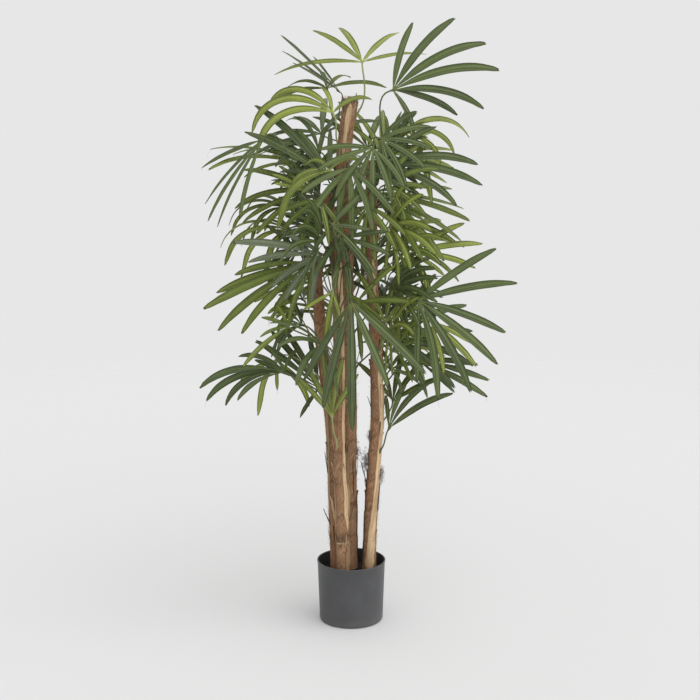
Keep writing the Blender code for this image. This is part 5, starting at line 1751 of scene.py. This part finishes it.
def stalkLine(frond, hub, along, lift, swing, segments):
    # a stalk leaves its cane upwards and outwards, and runs into the blade along its middle
    foot, out = caneSide(frond.stem, frond.height, hub)
    out = Matrix.Rotation(swing, 3, "Z") @ out
    reach = (hub - foot).length
    rise = (out + Vector((0, 0, lift))).normalized()
    ends = (
        foot,
        foot + rise * reach * stalk["rise"],
        hub - along * reach * stalk["runIn"],
        hub - along * leaf["hubRadius"],
    )
    spots, directions = [], []
    for k in range(segments + 1):
        t = k / segments
        u = 1 - t
        weights = (u**3, 3 * u * u * t, 3 * u * t * t, t**3)
        slopes = (-3 * u * u, 3 * u * u - 6 * u * t, 6 * u * t - 3 * t * t, 3 * t * t)
        spots.append(sum((p * w for p, w in zip(ends, weights)), Vector()))
        directions.append(sum((p * w for p, w in zip(ends, slopes)), Vector()).normalized())
    return spots, directions


def stalkFrames(directions, normal):
    # sides and upward ways, carried back from the blade so that the stalk isn't twisted
    side = directions[-1].cross(normal).normalized()
    sides, normals = [], []
    for direction in reversed(directions):
        side = (side - direction * side.dot(direction)).normalized()
        sides.insert(0, side)
        normals.insert(0, side.cross(direction))
    return sides, normals


def stalkSections(spots, directions, normal, grow=0.0):
    sides, normals = stalkFrames(directions, normal)
    last = len(spots) - 1
    narrower = stalk["width"] - stalk["footWidth"]
    halves = [(stalk["footWidth"] + narrower * k / last) / 2 for k in range(last + 1)]
    return bladeSections(spots, sides, normals, halves, [stalk["depth"]] * len(spots), grow)


def pastTheBark(sections, bare):
    # the stalk without its first stretch, which stands in the bark
    first, second = sections[0], sections[1]
    share = min(0.9, bare / (second[2] - first[2]).length)
    clipped = tuple(a.lerp(b, share) for a, b in zip(first, second))
    return [clipped] + sections[1:]


def rootSection(hub, along, normal, angle, grow=0.0):
    across = normal.cross(along)
    spot = hub + (along * math.cos(angle) + across * math.sin(angle)) * leaf["hubRadius"]
    side = across * math.cos(angle) - along * math.sin(angle)
    half = stalk["width"] / 2 + grow
    edge = spot + normal * grow
    return (edge + side * half, edge - side * half, spot - normal * (leaf["rootDepth"] + grow))


def hubGuard(hub, along, normal, grow=0.0):
    # a flat block round the hub, to keep other fronds out of it
    across = normal.cross(along)
    reach = leaf["hubGuard"] + grow
    sections = []
    for share in (-1, 0, 1):
        half = reach * (1 if share == 0 else 0.4)
        spot = hub + along * reach * share
        keel = spot - normal * (leaf["hubGuardDepth"] + grow)
        sections.append((spot + across * half, spot - across * half, keel))
    return sections


# what a stalk tries, in turn: how steeply it leaves its cane, and radians round it
stalkTrials = (
    (0.9, 0), (1.6, 0), (0.4, 0), (1.0, 0.5), (1.0, -0.5), (2.4, 0.3), (2.4, -0.3), (0.6, 0.9), (0.6, -0.9),
    (1.6, 1.2), (1.6, -1.2), (3.5, 0), (0.1, 0.3), (0.1, -0.3),
)
# what a leaflet tries, in turn, where its place is taken: degrees round, degrees out of the plane, shares
leafletTrials = (
    (0, 0, 1.0, 1.0), (0, 5, 1.0, 1.0), (0, -5, 1.0, 1.0), (5, 0, 1.0, 1.0), (-5, 0, 1.0, 1.0),
    (0, 10, 0.8, 1.0), (0, -10, 1.2, 1.0), (6, 8, 1.0, 1.0), (-6, 8, 1.0, 1.0), (6, -8, 1.0, 1.0),
    (-6, -8, 1.0, 1.0), (0, 16, 0.6, 1.0), (0, -16, 1.3, 1.0), (0, 22, 1.0, 0.95), (0, -22, 1.0, 0.95),
    (0, 0, 1.0, 0.8), (0, 9, 1.0, 0.8), (0, -9, 1.0, 0.8), (0, 18, 1.0, 0.75), (0, -18, 1.0, 0.75),
    (0, 0, 1.0, 0.62), (0, 14, 1.0, 0.6), (0, -14, 1.0, 0.6),
)


def placeStalk(index, frond, along, normal):
    # the first stalk that is clear of the canes and of the other stalks, by its lift and swing
    hub = Vector(frond.hub)
    if hits(hubGuard(hub, along, normal, leaf["clearance"])):
        return None
    for lift, swing in stalkTrials:
        spots, directions = stalkLine(frond, hub, along, lift, swing, stalk["segments"])
        grown = stalkSections(spots, directions, normal, leaf["clearance"])
        if hits(grown, lambda owner: owner in canes):
            continue
        sections = stalkSections(spots, directions, normal)
        if hits(pastTheBark(grown, stalk["bare"])) or hits(pastTheBark(sections, stalk["seat"])):
            continue
        addPlaced(sections, (index, "petiole"))
        addPlaced(hubGuard(hub, along, normal), (index, "hub"))
        return lift, swing
    return None


def fanGaps(fan):
    # the least turn from each leaflet to its neighbours, in radians
    turns = [math.radians(turn) for turn, _ in fan]
    steps = [b - a for a, b in zip(turns, turns[1:])]
    around = [steps[0]] + steps + [steps[-1]]
    return [max(min(before, after), leaf["leastGap"]) for before, after in zip(around, around[1:])]


def insideCrown(points, index):
    rule = leaf if index < len(outerRows) else innerRule
    low, high = rule["crownLow"], rule["crownHigh"]
    return all(low[i] <= p[i] <= high[i] for p in points for i in range(3))


def fits(index, hub, along, normal, leaflet):
    clearance = leaf["clearance"]
    grown = leafletSections(hub, along, normal, leaflet, clearance)
    grownRoot = [rootSection(hub, along, normal, leaflet.angle, clearance), grown[0]]
    if not insideCrown(flat(grown), index):
        return False
    if hits(grown, lambda owner: owner in ((index, "hub"), (index, "root"))):
        return False
    if hits(grownRoot, lambda owner: owner[0] == index):
        return False
    blade = leafletSections(hub, along, normal, leaflet)
    root = [rootSection(hub, along, normal, leaflet.angle), blade[0]]
    if hits(blade, lambda owner: owner != (index, "root")):
        return False
    if hits(root, lambda owner: owner != (index, "blade")):
        return False
    addPlaced(blade, (index, "blade"))
    addPlaced(root, (index, "root"))
    return True


def placeLeaflets(index, frond, along, normal):
    # spreads a frond's leaflets over its fan; one whose place is taken is moved, shortened or left out
    rng = random.Random(leaf["seed"] * 1000 + index)
    hub = Vector(frond.hub)
    leaflets = []
    for (turn, share), gap in zip(frond.fan, fanGaps(frond.fan)):
        wander = gap * rng.uniform(-0.12, 0.12)
        length = frond.length * share * rng.uniform(0.96, 1.04)
        droop = math.radians(frond.droop) * rng.uniform(0.75, 1.25)
        for moreTurn, tilt, bend, part in leafletTrials:
            leaflet = Leaflet(math.radians(turn + moreTurn) + wander, math.radians(tilt), length * part,
                              droop * bend, gap)
            if fits(index, hub, along, normal, leaflet):
                leaflets.append(leaflet)
                break
    return leaflets


class SetFrond(NamedTuple):
    index: int
    frond: Frond
    along: Vector
    normal: Vector
    lift: float
    swing: float
    leaflets: list


def placeCanes():
    for name in canes:
        mesh = frame["nodes"][name].data
        vertices = [v.co.copy() for v in mesh.vertices]
        placed.append((*solidOf(vertices, [tuple(p.vertices) for p in mesh.polygons]), name))


def setOutFronds(rows, firstIndex):
    stalks = []
    for index, frond in enumerate(rows, firstIndex):
        along, normal = frondAxes(frond)
        chosen = placeStalk(index, frond, along, normal)
        if chosen:
            stalks.append((index, frond, along, normal, *chosen))
    done = []
    for index, frond, along, normal, lift, swing in stalks:
        leaflets = placeLeaflets(index, frond, along, normal)
        if len(leaflets) >= leaf["leastLeaflets"]:
            done.append(SetFrond(index, frond, along, normal, lift, swing, leaflets))
    return done


outerRows = list(frontFronds) + backFronds()
placeCanes()
outerFronds = setOutFronds(outerRows, 0)
crownFronds = setOutFronds(innerFronds(), len(outerRows))
print("fronds set out:", len(outerFronds), "with", sum(len(f.leaflets) for f in outerFronds), "leaflets, and",
      len(crownFronds), "inner ones with", sum(len(f.leaflets) for f in crownFronds))


# Fine leaflets, stalks and threads

fine = {
    "bladeStations": 20, "rootHalf": 0.0016,
    "outline": ((0.0, 0.16), (0.16, 0.50), (0.45, 0.87), (0.70, 0.88), (0.90, 0.60), (1.0, 0.24)),
    "twist": 0.26,           # radians at the tip, as a spread
    "shades": (0.1, 0.9), "shadeSpread": 0.22,
    "tones": ("dark", "mid", "light", "grey"),
}
fineStalk = {
    "segments": 14, "sides": 8, "flatness": 0.72, "half": 0.0019,
    "footHalf": 0.0034, "footShare": 6, "footPower": 1.5,
    "heel": 0.030, "heelSteps": ((1.0, 0.0026, 0.4), (0.55, 0.0012, 0.9), (0.2, 0.0008, 1.0)),
    "hubHalf": 0.0034, "hubSteps": ((-0.3, 0.8), (0.25, 1.25), (0.75, 1.0), (1.1, 0.35)),
    "hubSink": 0.0012,
}
looseThread = {
    "share": 0.18, "length": (0.010, 0.030), "half": 0.00024, "sides": 4,
    "segments": 6, "curl": 0.35, "curlStep": 0.12, "fall": -0.28, "narrower": 0.5,
}


def outlineAt(share):
    # the leaflet's width at a share of its length, eased between the outline's points
    rows = fine["outline"]
    for (s0, w0), (s1, w1) in zip(rows, rows[1:]):
        if share <= s1:
            t = (share - s0) / (s1 - s0)
            return w0 + (w1 - w0) * t * (2 - t if w1 > w0 else t)
    return rows[-1][1]


def bladeRib(setFrond, leaflet, number, ownShade, twist):
    hub = Vector(setFrond.frond.hub)
    shares = [k / (fine["bladeStations"] - 1) for k in range(fine["bladeStations"])]
    start, spots, directions = leafletLine(hub, setFrond.along, setFrond.normal, leaflet, shares)
    _, normals = leafletFrames(setFrond.normal, start, directions)
    halves = []
    for share in shares:
        room = max(leaf["crowding"] * leaflet.length * share * math.sin(leaflet.gap / 2), fine["rootHalf"])
        halves.append(min(leafletWidth(leaflet.length) * outlineAt(share) / 2, room))
    # each blade turns a little about itself towards its tip
    normals = [Matrix.Rotation(twist * share**2, 3, direction) @ normal
               for share, direction, normal in zip(shares, directions, normals)]
    return Rib(spots, normals, halves, number, ownShade)


def stalkRib(setFrond, number, rng):
    # the stalk clasps its cane with a broad heel, and ends in a small boss under the leaflets
    look = fineStalk
    frond, along, normal = setFrond.frond, setFrond.along, setFrond.normal
    hub = Vector(frond.hub)
    spots, directions = stalkLine(frond, hub, along, setFrond.lift, setFrond.swing, look["segments"])
    _, normals = stalkFrames(directions, normal)
    halves = []
    for k in range(len(spots)):
        nearFoot = max(0.0, 1 - k / (len(spots) - 1) * look["footShare"]) ** look["footPower"]
        halves.append(look["half"] + (look["footHalf"] - look["half"]) * nearFoot)
    _, out = caneSide(frond.stem, frond.height, hub)
    angle = math.atan2(out.y, out.x)
    heel = []
    for drop, sink, half in look["heelSteps"]:
        z = frond.height - look["heel"] * drop
        heel.append((onCane(frond.stem, z, angle, caneRadius(frond.stem, z) - sink), half * look["footHalf"]))
    spots = [spot for spot, _ in heel] + spots[1:]
    halves = [half for _, half in heel] + halves[1:]
    normals = [out] * 2 + [(out + normals[1]).normalized()] + normals[1:]
    # on past the last point, into the hub and a little beyond it
    for reach, half in look["hubSteps"]:
        spots.append(hub + along * leaf["hubRadius"] * reach - normal * look["hubSink"])
        normals.append(normal)
        halves.append(look["hubHalf"] * half)
    return Rib(spots, normals, halves, number, rng.random())


def threadRib(rib, number, rng):
    # a thin thread that has come loose at the tip and hangs from it
    look = looseThread
    tip, before = rib.spots[-1], rib.spots[-2]
    heading = (tip - before).normalized()
    length = rng.uniform(*look["length"])
    curl = Vector((rng.uniform(-1, 1), rng.uniform(-1, 1), 0)) * look["curl"]
    spots, facings, halves = [], [], []
    spot = before.lerp(tip, 0.5)
    for k in range(look["segments"] + 1):
        spots.append(spot.copy())
        facings.append(rib.facings[-1])
        halves.append(look["half"] * (1 - look["narrower"] * k / look["segments"]))
        heading = (heading + Vector((0, 0, look["fall"])) + curl * look["curlStep"] * k).normalized()
        spot = spot + heading * length / look["segments"]
    return Rib(spots, facings, halves, number, rng.random())


def makeFronds(tone, fronds, suffix, seed):
    # the leaflets, stalks and threads of one tone
    rng = random.Random(seed)
    chosen = [setFrond for setFrond in fronds if setFrond.frond.tone == tone]
    stalks = [stalkRib(setFrond, setFrond.index, rng) for setFrond in chosen]
    blades, threads = [], []
    for setFrond in chosen:
        shade = rng.uniform(*fine["shades"])
        for leaflet in setFrond.leaflets:
            ownShade = min(max(rng.gauss(shade, fine["shadeSpread"]), 0), 1)
            blades.append(bladeRib(setFrond, leaflet, len(blades), ownShade, rng.gauss(0, fine["twist"])))
            if rng.random() < looseThread["share"]:
                threads.append(threadRib(blades[-1], len(threads), rng))
    nodes = [f"frond_{setFrond.index + 1:02d}" for setFrond in chosen if setFrond.index < len(outerRows)]
    name = tone + suffix
    made = (
        runTree(bladeTree, ribMesh("blades", blades), "leaflets_" + name, material=leafMaterials[tone]),
        runTree(rodTree, ribMesh("stalks", stalks), "stalks_" + name, sides=fineStalk["sides"],
                flatness=fineStalk["flatness"], material=stalkMaterials[tone]),
        runTree(rodTree, ribMesh("threads", threads), "threads_" + name, sides=looseThread["sides"],
                material=fibreMaterials["leaf_thread"]),
    )
    for k, piece in enumerate(made):
        finishPiece(piece, "leaf_" + tone, *(nodes if k == 0 else ()))
    print(name, "fronds made:", len(blades), "leaflets")


for number, frondTone in enumerate(fine["tones"]):
    makeFronds(frondTone, outerFronds, "", leaf["seed"] + number)
    if frondTone in innerRule["tones"]:
        makeFronds(frondTone, crownFronds, "_inner", leaf["seed"] + 10 + number)

for piece in bpy.data.objects:
    if piece.type == "MESH" and not piece.hide_render:
        print(piece.name, "triangles:", sum(len(p.vertices) - 2 for p in piece.data.polygons))
